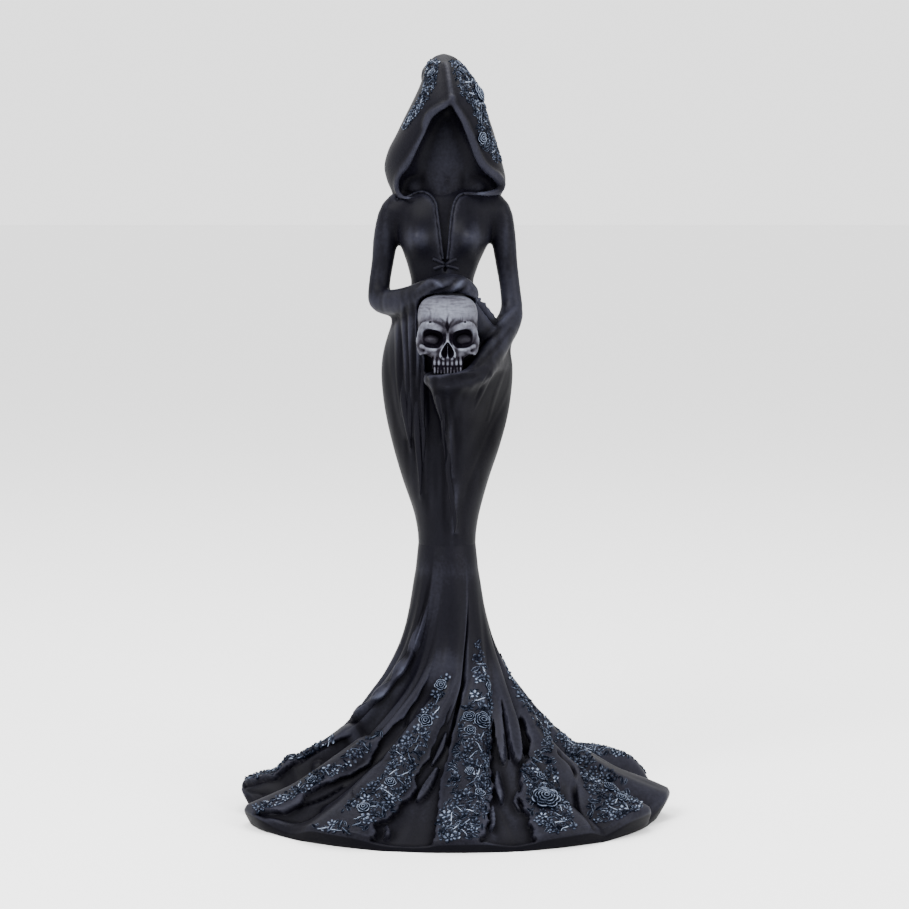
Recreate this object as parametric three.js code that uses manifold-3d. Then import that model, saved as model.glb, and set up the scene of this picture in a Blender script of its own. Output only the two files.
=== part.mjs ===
// A cast figurine of a faceless hooded woman in a long mermaid dress, who holds a skull at her waist.
// Millimetres, +Z up, front towards -Y. The origin is on the ground, under the middle of the figurine's box.
import * as THREE from "three";
import { mergeVertices } from "three/addons/utils/BufferGeometryUtils.js";
import Module from "manifold-3d";

const wasm = await Module();
wasm.setup();

// Driving dimensions of the dress.
const KNEE_HEIGHT = 108; // where the skirt is narrowest
const HEM_HALF_WIDTH = 81;
const HEM_FRONT = 64;
const HEM_BACK = 64;
const BASE_EDGE = 2.2; // the hem's plain upright edge at the front

// Skirt folds: each is a long ridge given by its direction at the hem, in degrees from the front, and half width.
const FOLD_DEPTH = 3.4;
const HEM_TIP = 5.6; // how far the side folds run out past the hem's oval
const SIDE_LIFT = 5.6; // how high the hem stands where the side folds end
const UNDERCUT = 0.62; // how far the hem's foot draws in under its edge, for each millimetre of height
const FOLDS = [
  { name: "centre", at: 2.4, half: 9 },
  { name: "right of centre", at: 30, half: 9.5 },
  { name: "right", at: 54, half: 9 },
  { name: "right tip", at: 77, half: 8.5 },
  { name: "back right tip", at: 103, half: 9 },
  { name: "back 1", at: 130, half: 10 },
  { name: "back 2", at: 157, half: 9.5 },
  { name: "back 3", at: 184, half: 10 },
  { name: "back 4", at: 211, half: 9.5 },
  { name: "back 5", at: 238, half: 9.5 },
  { name: "back left tip", at: 266, half: 9.5, tip: 0.5 },
  { name: "left tip", at: 295, half: 9 },
  { name: "left of centre", at: 326.5, half: 10.5 },
];

// Mesh density. The skirt's lines run along the folds: four for each fold, one of them in the valley beside it.
const FOLD_LINES = [-0.75, 0, 0.75];
const SKIRT_ROWS = 12;
const BODY_LINES = 28;
const ROW_CROWDING = 1.9; // over 1, the skirt's rows crowd towards the knees

// Sections of the dress above the knees: height, middle, half width, depth to the front and to the back.
const BODY = [
  { z: 108, x: -3.2, half: 11.3, front: 11.5, back: 12.5 },
  { z: 121, x: -3.2, half: 13.2, front: 13, back: 14.5 },
  { z: 134, x: -3.5, half: 17.2, front: 15, back: 18.5 },
  { z: 147, x: -3.2, half: 21.2, front: 17, back: 22 },
  { z: 160, x: -3.0, half: 24.3, front: 18.2, back: 25 },
  { z: 173, x: -3.0, half: 25.8, front: 18.4, back: 26 },
  { z: 182, x: -3.2, half: 25.2, front: 17.6, back: 24 },
  { z: 191, x: -3.6, half: 22.4, front: 15.6, back: 19.5 },
  { z: 200, x: -4.2, half: 16.8, front: 13.2, back: 14.8 },
  { z: 210, x: -4.8, half: 12.3, front: 11.4, back: 11.8 },
  { z: 217, x: -4.6, half: 13.6, front: 12, back: 11.8 },
  { z: 222.5, x: -4.3, half: 15.6, front: 12.3, back: 12.2 },
  { z: 227, x: -4, half: 17.4, front: 12.5, back: 12.6 },
  { z: 232, x: -3.8, half: 18.6, front: 12.2, back: 13 },
  { z: 239, x: -3.4, half: 20.4, front: 11.2, back: 12.8 },
  { z: 244, x: -3.3, half: 17.5, front: 9.6, back: 11.5 },
  { z: 247, x: -3.3, half: 12.5, front: 7.4, back: 10 },
  { z: 251, x: -3.2, half: 9.6, front: 4.6, back: 10 },
  { z: 258, x: -3.1, half: 9.2, front: 0.6, back: 11 },
  { z: 265, x: -3.0, half: 8.2, front: -2.4, back: 12 },
  { z: 271, x: -3.0, half: 6.5, front: -5, back: 13 },
];
const BREAST = { out: 11.4, z: 228.5, size: 6.6, spread: 6.4 };
const SEAT = { out: 9, z: 170, size: 2.2, spread: 9 };

// The skirt's side line from the hem (0) to the knees (1): share of the spread and share of the height left.
const FLARE = [
  { run: 0, rise: 1 },
  { run: 0.025, rise: 0.87 },
  { run: 0.055, rise: 0.745 },
  { run: 0.098, rise: 0.62 },
  { run: 0.165, rise: 0.5 },
  { run: 0.245, rise: 0.405 },
  { run: 0.36, rise: 0.295 },
  { run: 0.49, rise: 0.208 },
  { run: 0.66, rise: 0.128 },
  { run: 0.82, rise: 0.063 },
  { run: 1, rise: 0 },
];
// How far the folds swing round the body on their way up, in degrees at each height.
const SWING = [
  { z: 0, turn: 0 },
  { z: 20, turn: 4.5 },
  { z: 30, turn: 10.5 },
  { z: 44, turn: 21 },
  { z: 57, turn: 33 },
  { z: 70, turn: 42 },
  { z: 85, turn: 50 },
  { z: 108, turn: 56 },
];

const radians = THREE.MathUtils.degToRad;
const clamp = THREE.MathUtils.clamp;
const smoothstep = THREE.MathUtils.smoothstep;

// A value of a table of stations at a place between them, on a smooth curve through all of them.
function along(stations, place, key, by = "z") {
  const last = stations.length - 1;
  let i = 0;
  while (i < last - 1 && stations[i + 1][by] < place) i++;
  const slope = (k) => {
    const a = stations[Math.max(k - 1, 0)];
    const b = stations[Math.min(k + 1, last)];
    return (b[key] - a[key]) / (b[by] - a[by]);
  };
  const from = stations[i];
  const to = stations[i + 1];
  const span = to[by] - from[by];
  const t = clamp((place - from[by]) / span, 0, 1);
  const bend = t * t * (3 - 2 * t);
  const lead = t * (1 - t) * (1 - t) * slope(i) * span;
  const tail = t * t * (1 - t) * slope(i + 1) * span;
  return from[key] * (1 - bend) + to[key] * bend + lead - tail;
}

function middle(ring) {
  return ring.reduce((sum, p) => sum.add(p), new THREE.Vector3()).divideScalar(ring.length);
}

// A closed solid's surface through a list of rings with the same number of points, closed by a fan at both ends.
function loft(rings, start = middle(rings[0]), end = middle(rings.at(-1))) {
  const count = rings[0].length;
  const points = rings.flat();
  const faces = [];
  for (let r = 0; r + 1 < rings.length; r++) {
    for (let k = 0; k < count; k++) {
      const a = r * count + k;
      const b = r * count + ((k + 1) % count);
      faces.push(a, b, b + count, a, b + count, a + count);
    }
  }
  const first = points.push(start) - 1;
  const last = points.push(end) - 1;
  const top = (rings.length - 1) * count;
  for (let k = 0; k < count; k++) {
    const next = (k + 1) % count;
    faces.push(first, next, k, last, top + k, top + next);
  }
  const geometry = new THREE.BufferGeometry().setFromPoints(points);
  geometry.setIndex(faces);
  return geometry;
}

// A geometry as a solid that can be joined and cut, turned right side out if its rings ran the other way.
function solid(geometry) {
  const bare = geometry.clone();
  bare.deleteAttribute("normal");
  bare.deleteAttribute("uv");
  const merged = mergeVertices(bare, 1e-4);
  const make = (faces) =>
    new wasm.Manifold(
      new wasm.Mesh({
        numProp: 3,
        vertProperties: new Float32Array(merged.attributes.position.array),
        triVerts: new Uint32Array(faces),
      }),
    );
  const faces = Array.from(merged.index.array);
  const made = make(faces);
  return made.volume() > 0 ? made : make(faces.reverse());
}

function geometryOf(made) {
  const mesh = made.getMesh();
  const geometry = new THREE.BufferGeometry();
  const points = new Float32Array(mesh.numVert * 3);
  for (let i = 0; i < mesh.numVert; i++) {
    const start = i * mesh.numProp;
    points.set(mesh.vertProperties.subarray(start, start + 3), i * 3);
  }
  geometry.setAttribute("position", new THREE.BufferAttribute(points, 3));
  geometry.setIndex(new THREE.BufferAttribute(new Uint32Array(mesh.triVerts), 1));
  geometry.computeVertexNormals();
  return geometry;
}

function unite(solids) {
  return solids.reduce((whole, one) => whole.add(one));
}

// How much of a fold there is at a direction round the hem: 1 on its flat back, 0 in the valley beside it.
// "tip" is the same, but less for a fold that doesn't run out as far as the others.
function foldAt(hemAngle) {
  let amount = 0;
  let tip = 0;
  for (const fold of FOLDS) {
    const away = THREE.MathUtils.euclideanModulo(hemAngle - fold.at + 180, 360) - 180;
    const here = 1 / (1 + Math.pow(Math.abs(away / fold.half), 5));
    amount = Math.max(amount, here);
    tip = Math.max(tip, here * (fold.tip ?? 1));
  }
  return { amount, tip };
}

// A point of the skirt: the direction where its fold meets the hem, and how far out it lies, 1 at the hem.
function skirtPoint(hemAngle, run) {
  const rise = along(FLARE, run, "rise", "run");
  const { amount: fold, tip: foldTip } = foldAt(hemAngle);
  const side = Math.pow(Math.sin(radians(hemAngle)), 2);
  const edge = BASE_EDGE + fold * (1.2 + SIDE_LIFT * side);
  const z = edge + (KNEE_HEIGHT - edge) * rise;
  const turned = radians(hemAngle + along(SWING, z, "turn"));
  const tip = HEM_TIP * foldTip * side * smoothstep(run, 0.75, 1);
  const knee = BODY[0];
  const ahead = Math.cos(turned) > 0;
  const depth = ahead ? HEM_FRONT : HEM_BACK;
  const kneeDepth = ahead ? knee.front : knee.back;
  const depthHere = smoothstep(run, 0, 0.24) * (1 - 0.55 * smoothstep(run, 0.8, 1));
  const out = FOLD_DEPTH * (fold - 0.55) * depthHere;
  const half = knee.half + (HEM_HALF_WIDTH - knee.half) * run + out + tip;
  const reach = kneeDepth + (depth - kneeDepth) * run + out;
  const axis = knee.x * (1 - smoothstep(run, 0.45, 1));
  return new THREE.Vector3(axis + half * Math.sin(turned), -reach * Math.cos(turned), z + out * 0.5);
}

// A point of the body above the knees, at a height and a direction from the front.
function bodyPoint(angle, z) {
  const half = along(BODY, z, "half");
  const depth = along(BODY, z, Math.cos(angle) > 0 ? "front" : "back");
  const axis = along(BODY, z, "x");
  const point = new THREE.Vector3(axis + half * Math.sin(angle), -depth * Math.cos(angle), z);
  const swell = (form, front) => {
    if (point.y < 0 !== front) return 0;
    const away = Math.abs(point.x - axis) - form.out;
    return form.size * Math.exp(-(away * away + (z - form.z) ** 2) / (form.spread * form.spread));
  };
  point.y += swell(SEAT, false) - swell(BREAST, true);
  return point;
}

// The front of the body at a sideways place and height, which cloth lies on.
function frontOf(x, z) {
  const axis = along(BODY, z, "x");
  const half = along(BODY, z, "half");
  return bodyPoint(Math.asin(clamp((x - axis) / half, -0.98, 0.98)), z).y;
}

// The directions round the hem that the skirt's mesh lines start from.
const LINES = FOLDS.flatMap((fold, i) => {
  const next = FOLDS[(i + 1) % FOLDS.length].at + (i + 1 === FOLDS.length ? 360 : 0);
  return [...FOLD_LINES.map((share) => fold.at + share * fold.half), (fold.at + next) / 2];
});

// How far along the side line a row of the skirt's mesh lies: 1 at the hem, 0 at the knees.
function runOfRow(row) {
  return Math.pow(1 - row / SKIRT_ROWS, ROW_CROWDING);
}

function skirt() {
  const rings = [];
  const around = (make) => LINES.map(make);
  const foot = (share, z) => (hemAngle) => {
    const p = skirtPoint(hemAngle, 1);
    const keep = 1 - (share * (1.4 + UNDERCUT * (p.z - BASE_EDGE))) / Math.hypot(p.x, p.y);
    return new THREE.Vector3(p.x * keep, p.y * keep, z);
  };
  rings.push(around(foot(1, 0)));
  rings.push(around(foot(0.7, 0.8)));
  for (let row = 0; row < SKIRT_ROWS; row++) {
    rings.push(around((hemAngle) => skirtPoint(hemAngle, runOfRow(row))));
  }
  rings.push(around((hemAngle) => bodyPoint(radians(hemAngle + SWING.at(-1).turn), KNEE_HEIGHT)));
  return solid(loft(rings));
}

// The body from inside the top of the skirt to the neck, which ends in the back of the hood.
function body() {
  const heights = [KNEE_HEIGHT - 0.4, ...BODY.slice(1).map((s) => s.z)];
  const ring = (z) =>
    Array.from({ length: BODY_LINES }, (_, k) => bodyPoint((2 * Math.PI * k) / BODY_LINES, z));
  return solid(loft(heights.map(ring)));
}

// A rounded limb or strip of cloth through stations of x, y, z, a half width and a half thickness.
// The half width lies along "wide", turned square to the way the limb runs.
function limb(stations, wide, sides = 10) {
  const curve = new THREE.CatmullRomCurve3(stations.map((s) => new THREE.Vector3(s[0], s[1], s[2])));
  const rings = [];
  const last = stations.length - 1;
  for (let row = 0; row <= last; row++) {
    const t = row / last;
    const middle = curve.getPoint(t);
    const ahead = curve.getTangent(t);
    const across = wide.clone().addScaledVector(ahead, -wide.dot(ahead)).normalize();
    const up = ahead.clone().cross(across);
    const ring = [];
    for (let k = 0; k < sides; k++) {
      const turn = (2 * Math.PI * k) / sides;
      ring.push(
        middle
          .clone()
          .addScaledVector(across, stations[row][3] * Math.cos(turn))
          .addScaledVector(up, stations[row][4] * Math.sin(turn)),
      );
    }
    rings.push(ring);
  }
  return solid(loft(rings));
}

// A strip of cloth that hangs on the front of the body: stations of x, z, half width, half thickness and lift.
function strip(stations) {
  const path = stations.map(([x, z, half, thick, lift]) => [x, frontOf(x, z) - lift, z, half, thick]);
  return limb(path, ACROSS, 8);
}

const UPRIGHT = new THREE.Vector3(0, 0, 1);
const ACROSS = new THREE.Vector3(1, 0, 0);
const DEPTHWISE = new THREE.Vector3(0, 1, 0);

// The arm on the viewer's left: it bends at the elbow and its hand lies under cloth over the skull's crown.
function leftArm() {
  return unite([
    limb(
      [
        [-18, 1.5, 244.5, 5, 4.5],
        [-23.6, 1.2, 239, 5.6, 5.4],
        [-26.6, 1, 230, 5, 5],
        [-28.2, 0.5, 219, 4.1, 4.3],
        [-29.5, -0.5, 210, 3.9, 4.2],
        [-29.2, -2, 204.4, 4.4, 4.4],
        [-26, -5, 202.8, 4, 4.2],
      ],
      DEPTHWISE,
    ),
    limb(
      [
        [-28.8, -1.5, 205, 3.8, 4],
        [-24, -8.5, 203.8, 4.9, 4.4],
        [-17.5, -15.5, 204.9, 5.3, 4.4],
        [-11, -21, 208.2, 4.6, 5],
        [-5, -23.5, 210.8, 4, 7],
        [1.4, -23.5, 210.8, 4, 7],
        [5, -22, 208, 3.6, 5],
        [6.6, -19.5, 204.8, 2.2, 2.4],
      ],
      UPRIGHT,
    ),
  ]);
}

// The arm on the viewer's right: it reaches down and forward, and its hand lies under cloth below the skull.
function rightArm() {
  return unite([
    limb(
      [
        [11.5, 1.5, 244.5, 5, 4.5],
        [16.8, 1.2, 239, 5.6, 5.2],
        [19, 1, 230, 5, 4.9],
        [20.4, 0.5, 219, 4.2, 4.3],
        [21.8, -0.3, 209, 4, 4],
        [22.4, -2, 199.5, 4.4, 4.3],
        [19.5, -5.5, 194, 4.2, 4.4],
      ],
      DEPTHWISE,
    ),
    limb(
      [
        [22, -2.5, 198.2, 4.6, 3.6],
        [18.6, -9, 189.8, 4.8, 4],
        [12.8, -19, 182.2, 4.8, 5],
        [6.4, -26.5, 176, 4.2, 8],
        [-2, -28.5, 173.4, 3.4, 8.8],
        [-9, -27.5, 175, 2.6, 6.4],
      ],
      UPRIGHT,
    ),
  ]);
}

// A hanging sheet of cloth on the front of the body. Each station is a height, where the sheet starts and ends
// across, and how far it stands off the body at its start and at its end.
const SHEET_COLUMNS = 6;
const SHEET_CROWN = 0.7; // how much the sheet bellies out in its middle
const SHEET_ROOT = 2.2; // how far its back is sunk into the body

function sheet(stations) {
  const rings = stations.map(([z, from, to, liftFrom, liftTo]) => {
    const place = (column, inner) => {
      const share = column / SHEET_COLUMNS;
      const x = THREE.MathUtils.lerp(from, to, share);
      const lift = THREE.MathUtils.lerp(liftTo, liftFrom, Math.pow(1 - share, 1.2));
      const off = inner ? -SHEET_ROOT : lift + SHEET_CROWN * Math.sin(Math.PI * share);
      return new THREE.Vector3(x, frontOf(x, z) - off, z);
    };
    const front = Array.from({ length: SHEET_COLUMNS + 1 }, (_, c) => place(c, false));
    const back = Array.from({ length: SHEET_COLUMNS + 1 }, (_, c) => place(SHEET_COLUMNS - c, true));
    return [...front, ...back];
  });
  return solid(loft(rings));
}

// The cloth that falls from the viewer's right forearm and from under the skull to a long torn point.
const FRONT_CLOTH = [
  [197, 20.6, 25, 1.5, 0.6],
  [192, 17, 24.2, 4.2, 0.6],
  [187, 12.6, 22.4, 7.4, 0.5],
  [182.6, 8, 21.2, 12, 0.4],
  [178.6, 3.6, 21.6, 15.8, 0.4],
  [176, -0.6, 21.6, 17.6, 0.4],
  [174.4, -9, 21.2, 17.4, 0.4],
  [170.6, -8.8, 20.4, 13.4, 0.3],
  [165, -7.4, 18, 8, 0.2],
  [157, -4.8, 13.6, 3.8, 0.2],
  [145, -2.8, 8.4, 1.8, 0.2],
  [134, -1.8, 4, 1.2, 0.2],
  [124, -1.2, 1.4, 0.9, 0.3],
  [114, -0.2, 0.6, 0.4, 0.3],
];
// The torn sleeve that hangs from the viewer's left forearm.
const SLEEVE = [
  [205, -25.4, -12.4, 1.6, 9],
  [198, -24.6, -12, 1.4, 8.4],
  [191, -24.8, -11.6, 0.9, 5.6],
  [181, -24.6, -11.2, 0.6, 3],
  [168, -22.8, -11, 0.5, 1.8],
  [158, -20.6, -11, 0.5, 1.3],
  [152, -18.8, -11.4, 0.4, 1],
];
// Torn strips that run on below them: each station is x, height, half width, half thickness and stand-off.
const STRIPS = [
  [
    [-21, 188, 1.4, 1, 0.2],
    [-19.6, 168, 2, 1.5, 0.7],
    [-17, 146, 0.6, 0.5, 0.3],
  ],
  [
    [-16, 190, 1.6, 1, 2],
    [-14.6, 160, 2, 1.6, 1],
    [-13, 127, 0.6, 0.5, 0.3],
  ],
  [
    [-12.4, 190, 1.4, 1, 4],
    [-11.4, 158, 1.5, 1.4, 0.9],
    [-10.8, 129, 0.6, 0.5, 0.3],
  ],
  [
    [-5, 169, 2, 2, 9],
    [-4.4, 161, 1.8, 1.6, 4],
    [-4.4, 149, 0.6, 0.6, 0.6],
  ],
];
// The dark flap of sleeve behind the skull, at the viewer's right.
const FLAP = [
  [6.2, -12.6, 203, 3, 2],
  [10, -12.6, 196.8, 4.8, 2.2],
  [14.6, -11, 190.4, 5.2, 2.4],
  [17.4, -9, 185.6, 4, 2.4],
];

function cloths() {
  return [sheet(FRONT_CLOTH), sheet(SLEEVE), ...STRIPS.map(strip), limb(FLAP, UPRIGHT, 8)];
}

// Sections of the hood: height, middle, half width, and where its front and back lie.
const HOOD = [
  { z: 240, x: -3.3, half: 17.5, front: -8, back: 13 },
  { z: 243.5, x: -3.2, half: 20.4, front: -11, back: 16.5 },
  { z: 247, x: -2.8, half: 22, front: -13.5, back: 19.5 },
  { z: 251, x: -3.2, half: 23.3, front: -15.5, back: 21.5 },
  { z: 256.5, x: -4.2, half: 23.3, front: -18, back: 22.8 },
  { z: 263, x: -4.3, half: 21.5, front: -20, back: 23 },
  { z: 269, x: -3.6, half: 19, front: -21.5, back: 22.6 },
  { z: 275, x: -3.1, half: 16.5, front: -22.2, back: 21.6 },
  { z: 281, x: -2.5, half: 14.1, front: -21, back: 20 },
  { z: 287, x: -2.1, half: 11.7, front: -16, back: 17.6 },
  { z: 291.5, x: -2.8, half: 9.4, front: -11, back: 15 },
  { z: 296, x: -3.9, half: 6.8, front: -5.5, back: 11.6 },
  { z: 299, x: -4.2, half: 3.6, front: -0.5, back: 8 },
  { z: 300, x: -4.3, half: 0.8, front: 2.6, back: 5 },
];
// The hollow in the hood's front: height, middle and half width at the rim, and how far it reaches back.
const HOLLOW = [
  { z: 239.5, x: -2, half: 17.5, back: -3 },
  { z: 243.6, x: -2, half: 19, back: -2 },
  { z: 247, x: -2, half: 19.8, back: 2 },
  { z: 251.5, x: -3, half: 18.6, back: 5 },
  { z: 256, x: -3.2, half: 14.4, back: 5 },
  { z: 261, x: -3.4, half: 11.8, back: 4.6 },
  { z: 267, x: -3.5, half: 9.4, back: 3.4 },
  { z: 272.5, x: -3.4, half: 7.2, back: 0.6 },
  { z: 277, x: -2.8, half: 4.4, back: -4.5 },
  { z: 281, x: -1.8, half: 0.9, back: -12 },
];
const HOOD_SIDES = 24;
const HOLLOW_SIDES = 14;
const RIM = { thick: 1.8, wide: 2.4, taperFrom: 268, taper: 0.6 }; // the rolled edge, thinner towards the top

// The neckline's piped edges: x on each side and height, from the shoulders in and down to where they meet.
const NECKLINE = [
  { left: -22.5, right: 15.6, z: 244.2 },
  { left: -16.4, right: 8, z: 246 },
  { left: -10.4, right: 2.6, z: 245.4 },
  { left: -7.6, right: 0.4, z: 241 },
  { left: -6.6, right: -1.2, z: 235 },
  { left: -6, right: -2, z: 228 },
  { left: -4.2, right: -3, z: 220.6 },
];
const PIPING = 0.8;

// The two pipings, and the shallow opening between them that is cut out of the bodice.
function neckline() {
  const pipings = ["left", "right"].map((side) =>
    limb(
      NECKLINE.map((s) => [s[side], frontOf(s[side], Math.min(s.z, 244)) - 0.2, s.z, PIPING, PIPING]),
      ACROSS,
      6,
    ),
  );
  const rings = NECKLINE.slice(2).map((s) => {
    const front = frontOf(-3.2, s.z);
    return [
      new THREE.Vector3(s.left, front - 9, s.z),
      new THREE.Vector3(s.right, front - 9, s.z),
      new THREE.Vector3(s.right, front + 1.6, s.z),
      new THREE.Vector3(s.left, front + 1.6, s.z),
    ];
  });
  return { pipings, opening: solid(loft(rings)) };
}

function hoodRing(station, sides) {
  const ring = [];
  const middle = (station.front + station.back) / 2;
  const depth = (station.back - station.front) / 2;
  for (let k = 0; k < sides; k++) {
    const turn = (2 * Math.PI * k) / sides;
    ring.push(
      new THREE.Vector3(station.x + station.half * Math.sin(turn), middle - depth * Math.cos(turn), station.z),
    );
  }
  return ring;
}

function rimLine(side) {
  return HOLLOW.slice(1).map((s) => new THREE.Vector3(s.x + side * s.half, along(HOOD, s.z, "front") + rimSetBack(s), s.z));
}

// How far behind the hood's foremost line its rim lies, from the rim's distance to the middle.
function rimSetBack(station) {
  const half = along(HOOD, station.z, "half");
  const share = clamp(station.half / half, 0, 0.93);
  const depth = (along(HOOD, station.z, "back") - along(HOOD, station.z, "front")) / 2;
  return depth * (1 - Math.sqrt(1 - share * share));
}

function hood() {
  const outer = solid(loft(HOOD.map((s) => hoodRing(s, HOOD_SIDES))));
  const hollow = solid(
    loft(
      HOLLOW.map((s) => {
        const rim = along(HOOD, s.z, "front") + rimSetBack(s);
        const ring = [];
        for (let k = 0; k < HOLLOW_SIDES; k++) {
          const turn = (2 * Math.PI * k) / HOLLOW_SIDES;
          const reach = Math.cos(turn) > 0 ? 30 : s.back - rim;
          ring.push(new THREE.Vector3(s.x + s.half * Math.sin(turn), rim - reach * Math.cos(turn), s.z));
        }
        return ring;
      }),
    ),
  );
  const rim = [-1, 1].map((side) => {
    const stations = rimLine(side).map((p) => {
      const share = 1 - RIM.taper * smoothstep(p.z, RIM.taperFrom, HOLLOW.at(-1).z);
      return [p.x, p.y, p.z, RIM.wide * share, RIM.thick * share];
    });
    return limb(stations, ACROSS, 6);
  });
  const tip = limb(
    [
      [-1, 2, 296.4, 3, 2.4],
      [-5, 5, 296.6, 5, 3],
      [-9.6, 8.5, 293.4, 5, 3],
      [-11.4, 11, 289.8, 2.6, 1.6],
    ],
    DEPTHWISE,
    8,
  );
  return unite([outer.subtract(hollow), ...rim, tip]);
}

// The skull: height, half width, where its front and back lie, and how square its section is.
const SKULL = [
  { z: 177.6, half: 4.2, front: -34, back: -22, square: 2.2 },
  { z: 178.8, half: 5.6, front: -35.4, back: -19, square: 2.4 },
  { z: 181, half: 6.4, front: -36.2, back: -17, square: 2.4 },
  { z: 183.4, half: 6.9, front: -36.4, back: -15.4, square: 2.3 },
  { z: 185.6, half: 9.2, front: -36.2, back: -14.2, square: 2.2 },
  { z: 188.2, half: 11.5, front: -35.8, back: -13.2, square: 2.2 },
  { z: 191.5, half: 11.1, front: -35.6, back: -12.6, square: 2.3 },
  { z: 195, half: 11.2, front: -37, back: -12.2, square: 2.3 },
  { z: 199, half: 11.3, front: -37, back: -12.4, square: 2.3 },
  { z: 202.6, half: 10.8, front: -35.6, back: -13.2, square: 2.2 },
  { z: 205.4, half: 9.2, front: -33, back: -15, square: 2 },
  { z: 207, half: 6.6, front: -30, back: -17.6, square: 2 },
  { z: 207.6, half: 2, front: -26, back: -22, square: 2 },
];
const SKULL_X = -2.6;
const SEAM = 0.35; // the joint line between the skull and the cloth round it

function skullBlank(grow) {
  const sides = 22;
  const rings = SKULL.map((s, row) => {
    const middle = (s.front + s.back) / 2;
    const depth = (s.back - s.front) / 2 + grow;
    const z = s.z + (row === 0 ? -grow : 0) + (row === SKULL.length - 1 ? grow : 0);
    return Array.from({ length: sides }, (_, k) => {
      const turn = (2 * Math.PI * k) / sides;
      const bent = (v) => Math.sign(v) * Math.pow(Math.abs(v), 2 / s.square);
      return new THREE.Vector3(
        SKULL_X + (s.half + grow) * bent(Math.sin(turn)),
        middle - depth * bent(Math.cos(turn)),
        z,
      );
    });
  });
  return solid(loft(rings));
}

function ball(x, y, z, rx, ry, rz, around = 10, rows = 6) {
  const geometry = new THREE.SphereGeometry(1, around, rows);
  geometry.scale(rx, ry, rz);
  geometry.translate(x, y, z);
  return solid(geometry);
}

function skull() {
  let made = skullBlank(0);
  for (const side of [-1, 1]) {
    made = made.subtract(ball(SKULL_X + side * 5.3, -37, 190.2, 4.3, 5.2, 3.3));
    made = made.subtract(ball(SKULL_X + side * 10, -33, 182.2, 3.4, 6.5, 3.4));
  }
  const nose = new THREE.ConeGeometry(3, 6.4, 6);
  nose.scale(1, 1.1, 1.4);
  nose.translate(SKULL_X, -0, 0);
  nose.rotateX(Math.PI / 2);
  nose.translate(0, -37, 186);
  return made.subtract(solid(nose));
}

// A five-petalled blossom and a rose, as small solids sunk a little into what they grow on.
function blossom(place, out, size, turn) {
  return sprout(place, out, [{ up: -0.3, r: size, notch: 0.5 }], turn, 10, 0.95);
}

function rose(place, out, size, turn) {
  const rings = [
    { up: -0.2, r: size, notch: 0.84 },
    { up: size * 0.3, r: size * 0.66, notch: 0.86 },
  ];
  return sprout(place, out, rings, turn, 12, size * 0.42);
}

// Rings of points round a stem: how far each stands out, its radius, and how deep every second point is drawn in.
function sprout(place, out, rings, turn, sides, height) {
  const side = new THREE.Vector3(0.31, 0.2, 0.93).cross(out).normalize();
  const up = out.clone().cross(side);
  const points = rings.map((ring) =>
    Array.from({ length: sides }, (_, k) => {
      const angle = (2 * Math.PI * k) / sides + turn;
      const r = ring.r * (k % 2 ? ring.notch : 1);
      return place
        .clone()
        .addScaledVector(side, r * Math.cos(angle))
        .addScaledVector(up, r * Math.sin(angle))
        .addScaledVector(out, ring.up);
    }),
  );
  return solid(loft(points, place.clone().addScaledVector(out, -1.2), place.clone().addScaledVector(out, height)));
}

// The outward direction of a surface that is given by two running values.
function outward(surface, a, b, stepA, stepB) {
  const p = surface(a, b);
  const u = surface(a + stepA, b).sub(p);
  const v = surface(a, b + stepB).sub(p);
  return u.cross(v).normalize();
}

// A point of the skirt's facets, which lie a little inside its true surface.
function skirtFacet(hemAngle, run) {
  const turned = THREE.MathUtils.euclideanModulo(hemAngle - LINES[0], 360) + LINES[0];
  const left = LINES.findLastIndex((line) => line <= turned);
  const right = (left + 1) % LINES.length;
  const width = THREE.MathUtils.euclideanModulo(LINES[right] - LINES[left], 360);
  const row = SKIRT_ROWS * (1 - Math.pow(run, 1 / ROW_CROWDING));
  const below = Math.floor(row);
  const share = (turned - LINES[left]) / width;
  const edge = (level) => {
    const from = skirtPoint(LINES[left], runOfRow(level));
    return from.lerp(skirtPoint(LINES[right], runOfRow(level)), share);
  };
  return edge(below).lerp(edge(below + 1), row - below);
}

// Flower bands on the skirt: where each runs at the hem and at its top, how far out it starts and ends, its spread.
const BANDS = [
  { hem: 2.4, top: 2, from: 0.97, to: 0.12, spread: 5.2 },
  { hem: 30, top: 46, from: 0.95, to: 0.2, spread: 4.6 },
  { hem: 54, top: 62, from: 0.92, to: 0.45, spread: 4.6 },
  { hem: -33, top: -36, from: 0.95, to: 0.2, spread: 6.5 },
  { hem: -64, top: -57, from: 0.98, to: 0.34, spread: 4 },
  { hem: -94, top: -88, from: 0.98, to: 0.5, spread: 3.6 },
  { hem: 103, top: 103, from: 0.95, to: 0.6, spread: 4 },
  { hem: 184, top: 184, from: 0.95, to: 0.4, spread: 4.6 },
];
const ROSES = [
  { hem: 3.6, run: 0.4, size: 3.6 },
  { hem: 28.5, run: 0.76, size: 4.8 },
  { hem: 55, run: 0.84, size: 3.6 },
  { hem: -32, run: 0.67, size: 3 },
  { hem: 184, run: 0.7, size: 4 },
];
const BLOSSOM = 3.6;
const BLOSSOM_GAP = 0.21;

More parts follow.
